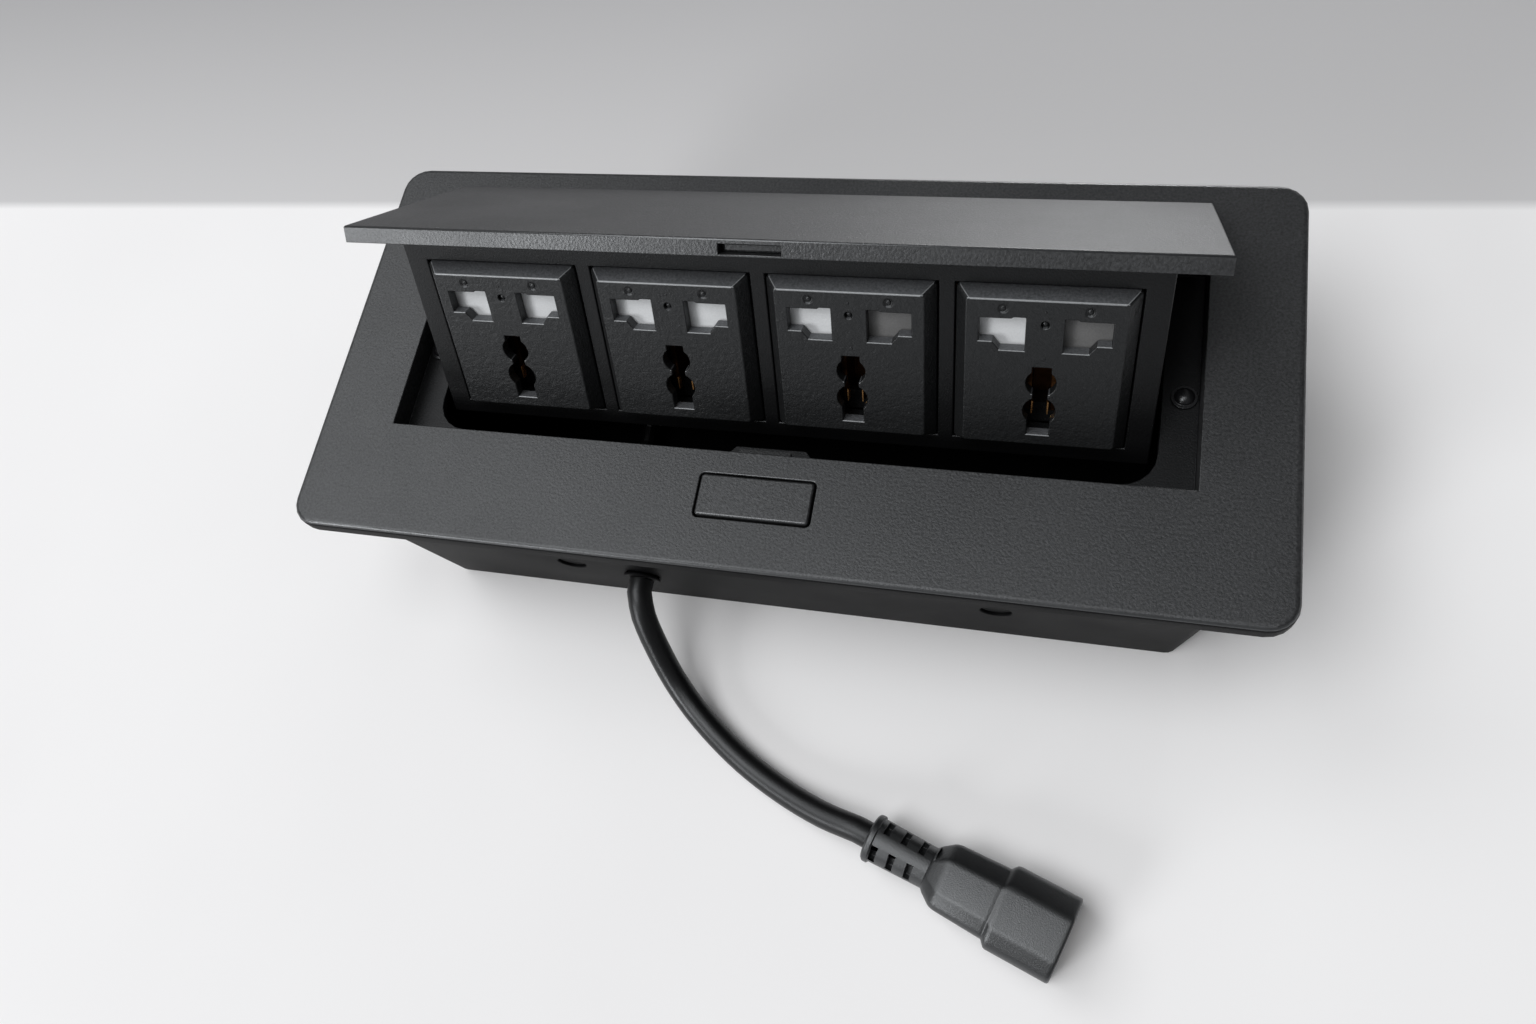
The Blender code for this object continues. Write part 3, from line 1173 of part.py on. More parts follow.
def shroud_outline(inset):
    """The plug's section, with its two upper corners cut off."""
    half_x = SHROUD_WIDTH / 2 - inset
    half_y = SHROUD_HEIGHT / 2 - inset
    cut_off = SHROUD_CHAMFER - inset * (2 - math.sqrt(2))
    corner = max(SHROUD_CORNER - inset / 2, FIT_GAP)
    shoulder = SHROUD_SHOULDER - inset / 2
    corners = [(-half_x, -half_y, corner), (half_x, -half_y, corner),
               (half_x, half_y - cut_off, shoulder), (half_x - cut_off, half_y, shoulder),
               (cut_off - half_x, half_y, shoulder), (-half_x, half_y - cut_off, shoulder)]
    return rounded(corners, 3)


def make_plug_shroud():
    along = axes((0, 0, 0), (0, 1, 0), (1, 0, 0))
    start = GRIP_END + FIT_GAP
    shroud = prism(shroud_outline(0.0), start, PLUG_END, along)
    cut(shroud, prism(shroud_outline(SHROUD_WALL), start + SHROUD_BACK, PLUG_END + PAST, along))
    plug_piece(shroud, "plug_shroud", PLUG_FINISH)


def make_plug_blades():
    first = GRIP_END + SHROUD_BACK + 2 * FIT_GAP
    blade_length = PLUG_END - BLADE_INSET - first
    middle = first + blade_length / 2
    places = {"line": (BLADE_PITCH / 2, -BLADE_DROP), "neutral": (-BLADE_PITCH / 2, -BLADE_DROP),
              "earth": (0.0, BLADE_EARTH_RISE)}
    for name, (across, up) in places.items():
        blade = centred_box((middle, across, up), (blade_length, BLADE_THICKNESS, BLADE_WIDTH))
        plug_piece(blade, "plug_" + name + "_pin", BRASS_FINISH)


make_top_frame()
make_housing()
for suffix, side in (("left", -1), ("right", 1)):
    make_frame_screw("frame_screw_" + suffix, side)
    make_knockout_plug("knockout_plug_" + suffix, side)
    make_pivot(suffix, side)
make_button()
make_latch()
make_release_bracket()
make_release_springs()
make_lid()
make_carrier()
make_rear_cover()
make_sockets()
make_busbars()
make_gland()
make_wiring()
make_cord()
make_plug_overmould()
make_plug_shroud()
make_plug_blades()
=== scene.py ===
"""Looks for the pop-up desk socket box.

Finer skins stand over the CAD solids, with procedural materials, a floor, lamps and the camera
of the photograph.
"""

import json
import math

import bmesh
import bpy
from mathutils import Matrix, Vector


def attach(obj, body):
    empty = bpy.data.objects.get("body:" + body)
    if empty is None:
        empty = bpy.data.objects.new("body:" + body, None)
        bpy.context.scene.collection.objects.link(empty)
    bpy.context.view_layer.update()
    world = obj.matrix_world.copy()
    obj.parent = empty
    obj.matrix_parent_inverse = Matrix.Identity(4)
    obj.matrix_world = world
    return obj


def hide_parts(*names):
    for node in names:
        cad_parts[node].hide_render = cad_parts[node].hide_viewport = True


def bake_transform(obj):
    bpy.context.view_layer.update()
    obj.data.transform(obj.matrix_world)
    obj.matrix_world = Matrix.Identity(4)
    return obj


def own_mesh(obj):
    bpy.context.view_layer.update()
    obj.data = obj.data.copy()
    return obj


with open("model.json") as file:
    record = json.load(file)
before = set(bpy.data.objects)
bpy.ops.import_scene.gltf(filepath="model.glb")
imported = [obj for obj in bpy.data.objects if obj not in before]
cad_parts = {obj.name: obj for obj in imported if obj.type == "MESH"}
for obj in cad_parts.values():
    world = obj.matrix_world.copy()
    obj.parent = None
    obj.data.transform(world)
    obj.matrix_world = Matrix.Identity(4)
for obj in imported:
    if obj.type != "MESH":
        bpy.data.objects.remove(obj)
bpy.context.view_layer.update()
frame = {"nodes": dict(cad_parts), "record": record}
NODES = frame["nodes"]
RECORD = frame["record"]
BODY_OF = {node: body for body, nodes in RECORD["behaviour"]["bodies"].items() for node in nodes}
SLOT_OF = {part["node"]: part["material_slot"] for part in RECORD["subparts"]}

# The photograph's camera: pixels, millimetres for the sensor, metres for its place
PHOTO_WIDTH = 1536
FOCAL_PIXELS = 1111.7
SENSOR = 36.0
NEAREST_SEEN = 0.01
CAMERA_PLACE = Vector((0.0778154, -0.1401551, 0.3248666))
CAMERA_RIGHT = Vector((0.96314, 0.17816, -0.20154))
CAMERA_UP = Vector((-0.09409, 0.92503, 0.36807))
CAMERA_BACK = Vector((0.25201, -0.33554, 0.90769))

# Places in the CAD, in metres, with the lid open
FACE_CENTRE = Vector((0.0, -0.0075276, 0.0790542))
FACE_UP = Vector((0.0, 0.483282, 0.875465))
FACE_OUT = Vector((0.0, -0.875465, 0.483282))
FACE_TURN = Matrix((Vector((1.0, 0.0, 0.0)), FACE_UP, FACE_OUT)).transposed().to_4x4()
SOCKET_PITCH = 0.0471
SOCKET_MIDDLES = [(index - 1.5) * SOCKET_PITCH for index in range(4)]
PIP_X = 0.00995
RELEASE_X = 0.0013
SCREW_X = 0.1057
BLANK_LEFT = -0.0613
BLANK_RIGHT = 0.0639
GLAND_X = -0.0405
JUMPER_X = -0.055
PIVOT_Y = 0.0479
PIVOT = Vector((0.0, PIVOT_Y, 0.0455392))
OPEN_ANGLE = math.radians(43.4)

# The lead and the plug, as routed in the CAD
CORD_DIAMETER = 0.0074
CORD_EXIT = Vector((GLAND_X, -0.054149, 0.022905))
CORD_OUT = Vector((0.0, -0.998017, -0.062945))
CORD_WALL = -0.052653
CORD_ROUTE = [  # right of the exit, forward of the wall, height
    (0.0017, 0.0113, 0.0195),
    (0.0058, 0.0187, 0.0140),
    (0.0123, 0.0276, 0.0080),
    (0.0217, 0.0367, 0.0046),
    (0.0347, 0.0460, 0.0038),
    (0.0481, 0.0531, 0.0043),
    (0.0614, 0.0583, 0.0064),
]
PLUG_START = Vector((0.0363, -0.115053, 0.0089))
PLUG_HEADING = math.radians(-18.3)
PLUG_ALONG = Vector((math.cos(PLUG_HEADING), math.sin(PLUG_HEADING), 0.0))
NECK_LENGTH = 0.0188
FIT_GAP = 0.0003


# Node helpers

NOISE_LOW = 0.3
NOISE_HIGH = 0.7


def feed(tree, node, **sockets):
    """Set a node's inputs, with a link where the value is a socket."""
    for name, value in sockets.items():
        socket = node.inputs[name.replace("_", " ")]
        if isinstance(value, bpy.types.NodeSocket):
            tree.links.new(value, socket)
        else:
            socket.default_value = value
    return node


def add_node(tree, kind, **sockets):
    return feed(tree, tree.nodes.new(kind), **sockets)


def new_material(name):
    made = bpy.data.materials.new(name)
    made.use_nodes = True
    tree = made.node_tree
    return made, tree, tree.nodes["Principled BSDF"]


def object_place(tree):
    return tree.nodes.new("ShaderNodeTexCoord").outputs["Object"]


def noise(tree, place, scale, detail=2.0, roughness=0.5):
    node = add_node(tree, "ShaderNodeTexNoise", Vector=place, Scale=scale, Detail=detail,
                    Roughness=roughness)
    return node.outputs["Fac"]


def ramp(tree, value, stops):
    """A colour ramp from (position, grey or colour) stops."""
    node = add_node(tree, "ShaderNodeValToRGB", Fac=value)
    elements = node.color_ramp.elements
    while len(elements) < len(stops):
        elements.new(0.5)
    for element, (position, colour) in zip(elements, stops):
        element.position = position
        rgb = colour if isinstance(colour, tuple) else (colour, colour, colour)
        element.color = (*rgb, 1.0)
    return node.outputs["Color"]


def remap(tree, value, low, high, from_low=NOISE_LOW, from_high=NOISE_HIGH):
    node = add_node(tree, "ShaderNodeMapRange", Value=value, From_Min=from_low, From_Max=from_high,
                    To_Min=low, To_Max=high)
    return node.outputs["Result"]


def blend_colour(tree, kind, first, second, factor=1.0):
    node = tree.nodes.new("ShaderNodeMix")
    node.data_type = "RGBA"
    node.blend_type = kind
    return feed(tree, node, Factor=factor, A=first, B=second).outputs["Result"]


def scaled(colour, factor):
    return tuple(min(1.0, channel * factor) for channel in colour)


# Materials

GLOSS_TINT = (0.94, 0.97, 1.0, 1.0)
SPECKLE_AT = (0.30, 0.52, 0.74)
CLOUD_SCALE = 22.0
CLOUD_STOPS = [(NOISE_LOW, 0.88), (NOISE_HIGH, 1.0)]
DARKER_STOPS = [(NOISE_LOW, 0.125), (NOISE_HIGH, 0.155)]
DARKER_BLUR = 0.0005
GRAIN_DEPTH = 0.0003
RIPPLE_SCALE = 650.0
RIPPLE_DEPTH = 0.0004
PLASTIC_SMOOTHER = 0.05
PLASTIC_ROUGHER = 0.06
TARNISH_SCALE = 120.0
TARNISH_AT = (0.35, 0.65)
LINE_SCALE = 900.0
LINE_STRENGTH = 0.08
LINE_DEPTH = 0.00005
METAL_SMOOTHER = 0.06
METAL_ROUGHER = 0.10


def plastic(name, colour, roughness, gloss, grain, speckle, bump, ripple=0.0, dark_from=None):
    """Moulded plastic: fine speckle, cloudy tone, uneven gloss, a fine grain and a slower ripple.

    With dark_from, it is darker to the right of that X.
    """
    made, tree, shader = new_material(name)
    place = object_place(tree)
    fine = noise(tree, place, 1.0 / grain, detail=3.0, roughness=0.6)
    broad = noise(tree, place, CLOUD_SCALE, detail=3.0, roughness=0.55)
    tones = (scaled(colour, 1 - speckle), colour, scaled(colour, 1 + speckle))
    tone = ramp(tree, fine, list(zip(SPECKLE_AT, tones)))
    tone = blend_colour(tree, "MULTIPLY", tone, ramp(tree, broad, CLOUD_STOPS))
    if dark_from is not None:
        right = add_node(tree, "ShaderNodeSeparateXYZ", Vector=place).outputs["X"]
        darkened = remap(tree, right, 0.0, 1.0, dark_from - DARKER_BLUR, dark_from + DARKER_BLUR)
        tone = blend_colour(tree, "MIX", tone, ramp(tree, fine, DARKER_STOPS), darkened)
    rough = remap(tree, broad, roughness - PLASTIC_SMOOTHER, roughness + PLASTIC_ROUGHER)
    relief = add_node(tree, "ShaderNodeBump", Strength=bump, Distance=GRAIN_DEPTH, Height=fine)
    if ripple:
        slow = noise(tree, place, RIPPLE_SCALE)
        relief = add_node(tree, "ShaderNodeBump", Strength=ripple, Distance=RIPPLE_DEPTH,
                          Height=slow, Normal=relief.outputs["Normal"])
    feed(tree, shader, Base_Color=tone, Roughness=rough, Normal=relief.outputs["Normal"],
         Specular_IOR_Level=gloss, Specular_Tint=GLOSS_TINT)
    return made


def metal(name, colour, tarnish, roughness, squeeze):
    """Stamped or drawn metal: fine lines across the squeezed axis and a broad tarnish."""
    made, tree, shader = new_material(name)
    place = object_place(tree)
    lined = add_node(tree, "ShaderNodeMapping", Vector=place, Scale=squeeze)
    lines = noise(tree, lined.outputs["Vector"], LINE_SCALE, detail=3.0, roughness=0.6)
    broad = noise(tree, place, TARNISH_SCALE, detail=3.0, roughness=0.6)
    tone = ramp(tree, broad, list(zip(TARNISH_AT, (tarnish, colour))))
    rough = remap(tree, lines, roughness - METAL_SMOOTHER, roughness + METAL_ROUGHER)
    relief = add_node(tree, "ShaderNodeBump", Strength=LINE_STRENGTH, Distance=LINE_DEPTH,
                      Height=lines)
    feed(tree, shader, Base_Color=tone, Roughness=rough, Normal=relief.outputs["Normal"],
         Metallic=1.0)
    return made


CHARCOAL = (0.0195, 0.020, 0.0212)
ACROSS_Y = (1.0, 8.0, 1.0)
ACROSS_Z = (1.0, 1.0, 6.0)
SHUTTER_LOOK = {"colour": (0.78, 0.80, 0.82), "roughness": 0.42, "gloss": 0.5,
                "grain": 0.0004, "speckle": 0.05, "bump": 0.15}
MATERIALS = {
    "panel_charcoal": plastic("charcoal_satin", CHARCOAL, roughness=0.43, gloss=0.65,
                              grain=0.0007, speckle=0.85, bump=0.35),
    "shell_black": plastic("black_moulding", (0.0022, 0.0022, 0.0025), roughness=0.40, gloss=0.38,
                           grain=0.0005, speckle=0.25, bump=0.3),
    "socket_black": plastic("socket_moulding", (0.0095, 0.010, 0.0106), roughness=0.38, gloss=0.5,
                            grain=0.0005, speckle=0.40, bump=0.4, ripple=0.35),
    "shutter_white": plastic("shutter_white", **SHUTTER_LOOK),
    "brass": metal("stamped_brass", (0.66, 0.37, 0.15), tarnish=(0.42, 0.20, 0.07),
                   roughness=0.30, squeeze=ACROSS_Y),
    "steel": metal("drawn_steel", (0.46, 0.46, 0.47), tarnish=(0.30, 0.30, 0.31),
                   roughness=0.28, squeeze=ACROSS_Z),
    "cord_black": plastic("cord_sheath", (0.0048, 0.0048, 0.0052), roughness=0.36, gloss=0.42,
                          grain=0.0006, speckle=0.18, bump=0.15),
    "plug_grey": plastic("plug_moulding", (0.0060, 0.0064, 0.0070), roughness=0.36, gloss=1.0,
                         grain=0.0004, speckle=0.30, bump=0.25),
    "terminal_plastic": plastic("terminal_moulding", (0.52, 0.52, 0.50), roughness=0.45, gloss=0.5,
                                grain=0.0005, speckle=0.06, bump=0.15),
}
LID_EDGE_SATIN = plastic("lid_edge_satin", CHARCOAL, roughness=0.36, gloss=0.9,
                         grain=0.0007, speckle=0.85, bump=0.35)
# Painted shade: the ledges low in the panel's opening get a colour darker than the panel, for the
# shade in that recess
LEDGE_PAINTED_SHADE = plastic("ledge_painted_shade", (0.0055, 0.0057, 0.0062), roughness=0.42, gloss=0.25,
                      grain=0.0005, speckle=0.30, bump=0.3)
# Painted shade: the earth contacts deep in the keyholes get brass darkened to stand for the shade
# there
BRASS_PAINTED_SHADE = metal("brass_painted_shade", (0.12, 0.055, 0.022), tarnish=(0.05, 0.022, 0.009),
                  roughness=0.42, squeeze=ACROSS_Y)
TUB_BLACK = plastic("tub_moulding", (0.0040, 0.0040, 0.0043), roughness=0.46, gloss=0.05,
                    grain=0.0004, speckle=0.25, bump=0.3)
SCREW_BLACK = plastic("screw_black", (0.008, 0.008, 0.009), roughness=0.28, gloss=0.6,
                      grain=0.0004, speckle=0.20, bump=0.10)
# Painted light: the sockets' upward bevels get a colour far lighter than the socket moulding, for
# the light that falls on them from above
BEVEL_PAINTED_LIGHT = plastic("socket_bevel_painted_light", (0.088, 0.092, 0.098), roughness=0.45, gloss=0.5,
                      grain=0.0006, speckle=0.35, bump=0.4, ripple=0.25)
# Painted highlight: a pale colour on the sockets' rounded upper edges stands for the bright lines
# of light along them
EDGE_PAINTED_HIGHLIGHT = plastic("painted_highlight_edge", (0.24, 0.25, 0.26), roughness=0.32, gloss=0.8,
                     grain=0.0005, speckle=0.15, bump=0.1)
# Partly painted highlight: edges that look up and forward get a colour a little lighter than the
# panel, besides a higher gloss
PANEL_EDGE_PAINTED_HIGHLIGHT = plastic("panel_edge_painted_highlight", (0.026, 0.027, 0.0285), roughness=0.32, gloss=1.0,
                     grain=0.0005, speckle=0.25, bump=0.2)
# Painted shade: the panel's outer side gets a colour far darker than its top, for the shade on it,
# with little gloss
PANEL_SIDE_PAINTED_SHADE = plastic("panel_side_painted_shade", (0.0045, 0.0046, 0.0050), roughness=0.48, gloss=0.06,
                     grain=0.0005, speckle=0.25, bump=0.3)
for node_name, node in NODES.items():
    node.data.materials.clear()
    node.data.materials.append(MATERIALS[SLOT_OF[node_name]])
# Painted shade: the earth contacts get the darkened brass
for number in "1234":
    NODES["earth_contact_" + number].data.materials[0] = BRASS_PAINTED_SHADE
# Shutters 3 and 4 are darker to the right of their socket's middle
for number in (3, 4):
    node_name = "shutter_" + str(number)
    NODES[node_name].data.materials[0] = plastic(node_name + "_smoked", **SHUTTER_LOOK,
                                                 dark_from=SOCKET_MIDDLES[number - 1])


# Making pieces

PIECE_SHARP = math.radians(35)
SOFT_SHARP = math.radians(50)


def mesh_from(name, bm):
    mesh = bpy.data.meshes.new(name)
    bm.to_mesh(mesh)
    bm.free()
    return mesh


def put_in_scene(name, data):
    made = bpy.data.objects.new(name, data)
    bpy.context.scene.collection.objects.link(made)
    return made


def shade_rounded(mesh, sharp):
    """Shade a mesh smooth, apart from folds past an angle."""
    mesh.shade_smooth()
    mesh.set_sharp_from_angle(angle=sharp)


def bridge(bm, first, second):
    """Close the band between two rings of corners."""
    for index in range(len(first)):
        after = (index + 1) % len(first)
        bm.faces.new((first[index], first[after], second[after], second[index]))


def add_piece(name, bm, body, slot_name):
    """A piece that stands for no CAD node of its own."""
    mesh = mesh_from(name, bm)
    mesh.materials.append(MATERIALS[slot_name])
    shade_rounded(mesh, PIECE_SHARP)
    piece = put_in_scene(name, mesh)
    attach(piece, body)


def stand_in(node_name, mesh):
    """Put a mesh in the scene as the looks of a CAD node."""
    piece = put_in_scene(node_name + "_skin", mesh)
    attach(piece, BODY_OF[node_name])
    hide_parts(node_name)
    return piece


# Finer skins over the CAD solids

MERGE_DISTANCE = 2e-6
CUT_TOLERANCE = 1e-6
FLAT_ANGLE = math.radians(3)
EDGE_ANGLE = math.radians(32)
EDGE_SEGMENTS = 2
FLAT_WEIGHT = 100


def cut(bm, point, normal, clear=False):
    """Cut a mesh along a plane, and give back what lies on the cut."""
    whole = [*bm.verts, *bm.edges, *bm.faces]
    found = bmesh.ops.bisect_plane(bm, geom=whole, dist=CUT_TOLERANCE, plane_co=point,
                                   plane_no=normal, clear_outer=clear)
    return found["geom_cut"]


def tidy_mesh(mesh, planes, end=None):
    """Merge the solid's triangles into flat faces, split only where a plane crosses a hole.

    Beyond the end plane, where one is given, the solid is cut away.
    """
    bm = bmesh.new()
    bm.from_mesh(mesh)
    bmesh.ops.remove_doubles(bm, verts=bm.verts, dist=MERGE_DISTANCE)
    if end:
        cut(bm, *end, clear=True)
    for point, normal in planes:
        for item in cut(bm, point, normal):
            if isinstance(item, bmesh.types.BMEdge):
                item.seam = True
    bmesh.ops.dissolve_limit(bm, angle_limit=FLAT_ANGLE, verts=bm.verts, edges=bm.edges,
                             delimit={"SEAM"})
    bm.to_mesh(mesh)
    bm.free()


def smooth_edges(piece, width):
    """Round a piece's edges with a bevel, and shade it smooth."""
    bevel = piece.modifiers.new("edges", "BEVEL")
    bevel.width = width
    bevel.segments = EDGE_SEGMENTS
    bevel.limit_method = "ANGLE"
    bevel.angle_limit = EDGE_ANGLE
    bevel.use_clamp_overlap = False
    bevel.loop_slide = False
    flat = piece.modifiers.new("flats", "WEIGHTED_NORMAL")
    flat.weight = FLAT_WEIGHT
    flat.keep_sharp = False
    piece.data.shade_smooth()


def skin(node_name, width, planes=(), end=None):
    """A copy of a CAD solid with rounded edges that stands for it."""
    mesh = NODES[node_name].data.copy()
    tidy_mesh(mesh, planes, end)
    piece = stand_in(node_name, mesh)
    smooth_edges(piece, width)
    return piece


def settle(piece):
    """Apply a piece's modifiers, so that its rounded edges can be painted too."""
    graph = bpy.context.evaluated_depsgraph_get()
    mesh = bpy.data.meshes.new_from_object(piece.evaluated_get(graph),
                                           preserve_all_data_layers=True, depsgraph=graph)
    piece.modifiers.clear()
    piece.data = mesh


def across(*places):
    """Planes square to the X axis."""
    return [((x, 0.0, 0.0), (1.0, 0.0, 0.0)) for x in places]


PIVOT_PLANE = [((0.0, PIVOT_Y, 0.0), (0.0, 1.0, 0.0))]
TUB_PLANES = across(-SCREW_X, BLANK_LEFT, GLAND_X, BLANK_RIGHT, SCREW_X) + PIVOT_PLANE
NECK_END = (tuple(PLUG_START + PLUG_ALONG * NECK_LENGTH), tuple(PLUG_ALONG))
SOCKET_EDGE = 0.00028
SKINS = {  # each with the width of its rounded edges
    "top_frame": skin("top_frame", 0.0003, across(-SCREW_X, RELEASE_X, SCREW_X)),
    "release_button": skin("release_button", 0.0002),
    "housing": skin("housing", 0.0004, TUB_PLANES),
    "socket_carrier": skin("socket_carrier", 0.0004, across(*SOCKET_MIDDLES) + PIVOT_PLANE),
    "rear_cover": skin("rear_cover", 0.0003, across(JUMPER_X)),
    "plug_overmould": skin("plug_overmould", 0.0002, end=NECK_END),
    "cord_gland": skin("cord_gland", 0.0003),
    "knockout_plug_left": skin("knockout_plug_left", 0.0002),
    "knockout_plug_right": skin("knockout_plug_right", 0.0002),
    "terminal_block": skin("terminal_block", 0.0004),
    "frame_screw_left": skin("frame_screw_left", 0.0001),
    "frame_screw_right": skin("frame_screw_right", 0.0001),
}


# Faces with a finish of their own, and faces with painted highlights and painted shade

STEEP = 0.3
LIP_FLAT = 0.95
SIDE_TOP = 0.6
SIDE_X = 0.125
SIDE_Y = 0.0585
LEDGE_TOP = 0.0608
LEDGE_END = 0.115
BEVEL_UP = 0.88
SOCKET_LOW = -0.0185
MARKS_LOW = 0.0125
MARKS_HIGH = 0.0193


def paint(piece, finish, chosen):
    """Give the chosen faces of a piece another material: finishes of their own, painted highlights
    and painted shade all go on this way.
    """
    piece.data.materials.append(finish)
    for polygon in piece.data.polygons:
        if chosen(polygon):
            polygon.material_index = len(piece.data.materials) - 1


def front_edge(polygon):
    """Whether a face is part of a rounded edge that looks up and forward."""
    return STEEP < polygon.normal.z < LIP_FLAT and polygon.normal.y < -STEEP


def outer_side(polygon):
    """Whether a face is part of the panel's outer side, under the bright line along its top."""
    outside = abs(polygon.center.x) > SIDE_X or abs(polygon.center.y) > SIDE_Y
    return polygon.normal.z < SIDE_TOP and outside


def ledge(polygon):
    """Whether a face of the panel lies low in its opening, as the ledges do."""
    return polygon.center.z < LEDGE_TOP and abs(polygon.center.x) < LEDGE_END


def face_height(polygon):
    """How far up its socket a face is, from the middle."""
    return (polygon.center - FACE_CENTRE).dot(FACE_UP)


def upper_bevel(polygon):
    """Whether a face of a socket looks up, other than at its foot."""
    return polygon.normal.dot(FACE_UP) > BEVEL_UP and face_height(polygon) > SOCKET_LOW


def upper_lip(polygon):
    """Whether a face is part of a rounded socket edge that looks up and out.

    The small round marks near the top and the socket's foot are left out.
    """
    height = face_height(polygon)
    up, out = polygon.normal.dot(FACE_UP), polygon.normal.dot(FACE_OUT)
    looks_up = STEEP < up < BEVEL_UP and out > STEEP and abs(polygon.normal.x) < STEEP
    return looks_up and height > SOCKET_LOW and not MARKS_LOW < height < MARKS_HIGH


# Painted light on each socket: a lighter colour on the upward bevels and a pale one on the rounded
# upper edges stand for the light falling on them
for number, middle in enumerate(SOCKET_MIDDLES, 1):
    name = "socket_face_" + str(number)
    SKINS[name] = skin(name, SOCKET_EDGE, across(middle - PIP_X, middle, middle + PIP_X))
    settle(SKINS[name])
    paint(SKINS[name], BEVEL_PAINTED_LIGHT, upper_bevel)
    paint(SKINS[name], EDGE_PAINTED_HIGHLIGHT, upper_lip)
for name in ("frame_screw_left", "frame_screw_right"):
    SKINS[name].data.materials[0] = SCREW_BLACK
for name in ("housing", "cord_gland", "knockout_plug_left", "knockout_plug_right"):
    SKINS[name].data.materials[0] = TUB_BLACK
# Partly painted highlight on the panel's and the button's edges that look up and forward
for name in ("top_frame", "release_button"):
    settle(SKINS[name])
    paint(SKINS[name], PANEL_EDGE_PAINTED_HIGHLIGHT, front_edge)
# Painted shade on the panel's outer side, under the highlight line
paint(SKINS["top_frame"], PANEL_SIDE_PAINTED_SHADE, outer_side)
# Painted shade on the ledges in the panel's opening
paint(SKINS["top_frame"], LEDGE_PAINTED_SHADE, ledge)


# The lid, drawn shut with an even edge and a clean latch slot, and then opened

LID_HALF = 0.109
LID_PROFILE = [  # y and z, from the foot of the front edge round to its top
    (-0.0275, 0.060639), (0.030698, 0.060639), (0.032808, 0.062748), (0.033966, 0.063699),
    (0.035186, 0.064573), (0.035186, 0.065039), (-0.0275, 0.065039),
]
LID_FRONT = LID_PROFILE[0][0]
SLOT_HALF = 0.0079
SLOT_LEFT = RELEASE_X - SLOT_HALF
SLOT_RIGHT = RELEASE_X + SLOT_HALF
SLOT_LOW = 0.061189
SLOT_HIGH = 0.063739
SLOT_DEPTH = 0.004
FOLD_ANGLE = 0.7
TOP_ABOVE = 0.065
FOOT_BELOW = 0.061
TOP_ROUND = (0.0005, 3)  # width and steps
FOOT_ROUND = (0.0002, 2)
MOUTH_ROUND = (0.00012, 2)
LOOKS_FORWARD = -0.9
LIP_Z = (0.1, 0.9)
FLAT_NORMAL = 0.9999
SMALL_FACE = 1e-4
SLOT_RIB_DEPTH = 0.0019
SLOT_RIB_LEFT = 0.0013
SLOT_RIB_LOW = 0.0008
SLOT_RIB_CLEAR = 0.0003
SLOT_RIB_HIGH = 0.0005


def build_lid(bm):
    """The lid's faces, with sharp edges. Gives back the corners of the slot's mouth."""
    places = [-LID_HALF, SLOT_LEFT, SLOT_RIGHT, LID_HALF]
    rings = [[bm.verts.new((x, y, z)) for y, z in LID_PROFILE] for x in places]
    mouth, back = [
        [[bm.verts.new((x, y, z)) for z in (SLOT_LOW, SLOT_HIGH)] for x in places[1:3]]
        for y in (LID_FRONT, LID_FRONT + SLOT_DEPTH)
    ]
    last = len(LID_PROFILE) - 1
    for left, right in zip(rings, rings[1:]):
        for index in range(last):
            bm.faces.new((left[index], left[index + 1], right[index + 1], right[index]))
    bm.faces.new((rings[0][0], rings[1][0], *mouth[0], rings[1][last], rings[0][last]))
    bm.faces.new((rings[3][0], rings[3][last], rings[2][last], *reversed(mouth[1]), rings[2][0]))
    bm.faces.new((rings[1][0], rings[2][0], mouth[1][0], mouth[0][0]))
    bm.faces.new((mouth[0][1], mouth[1][1], rings[2][last], rings[1][last]))
    around = [mouth[0][0], mouth[1][0], mouth[1][1], mouth[0][1]]
    behind = [back[0][0], back[1][0], back[1][1], back[0][1]]
    bridge(bm, around, behind)
    bm.faces.new(behind)
    bm.faces.new(rings[0])
    bm.faces.new(reversed(rings[3]))
    bmesh.ops.recalc_face_normals(bm, faces=bm.faces)
    return around


def round_lid(bm, mouth):
    """Round the lid's upper and lower edges and the slot's mouth."""
    rim = set(mouth)
    folds = [edge for edge in bm.edges if edge.calc_face_angle(0.0) > FOLD_ANGLE]
    top = [edge for edge in folds if all(vert.co.z > TOP_ABOVE for vert in edge.verts)]
    foot = [edge for edge in folds if all(vert.co.z < FOOT_BELOW for vert in edge.verts)]
    lips = [edge for edge in folds if set(edge.verts) <= rim]
    for edges, (width, steps) in ((top, TOP_ROUND), (foot, FOOT_ROUND), (lips, MOUTH_ROUND)):
        bmesh.ops.bevel(bm, geom=edges, offset=width, segments=steps, profile=0.5, affect="EDGES",
                        loop_slide=True)


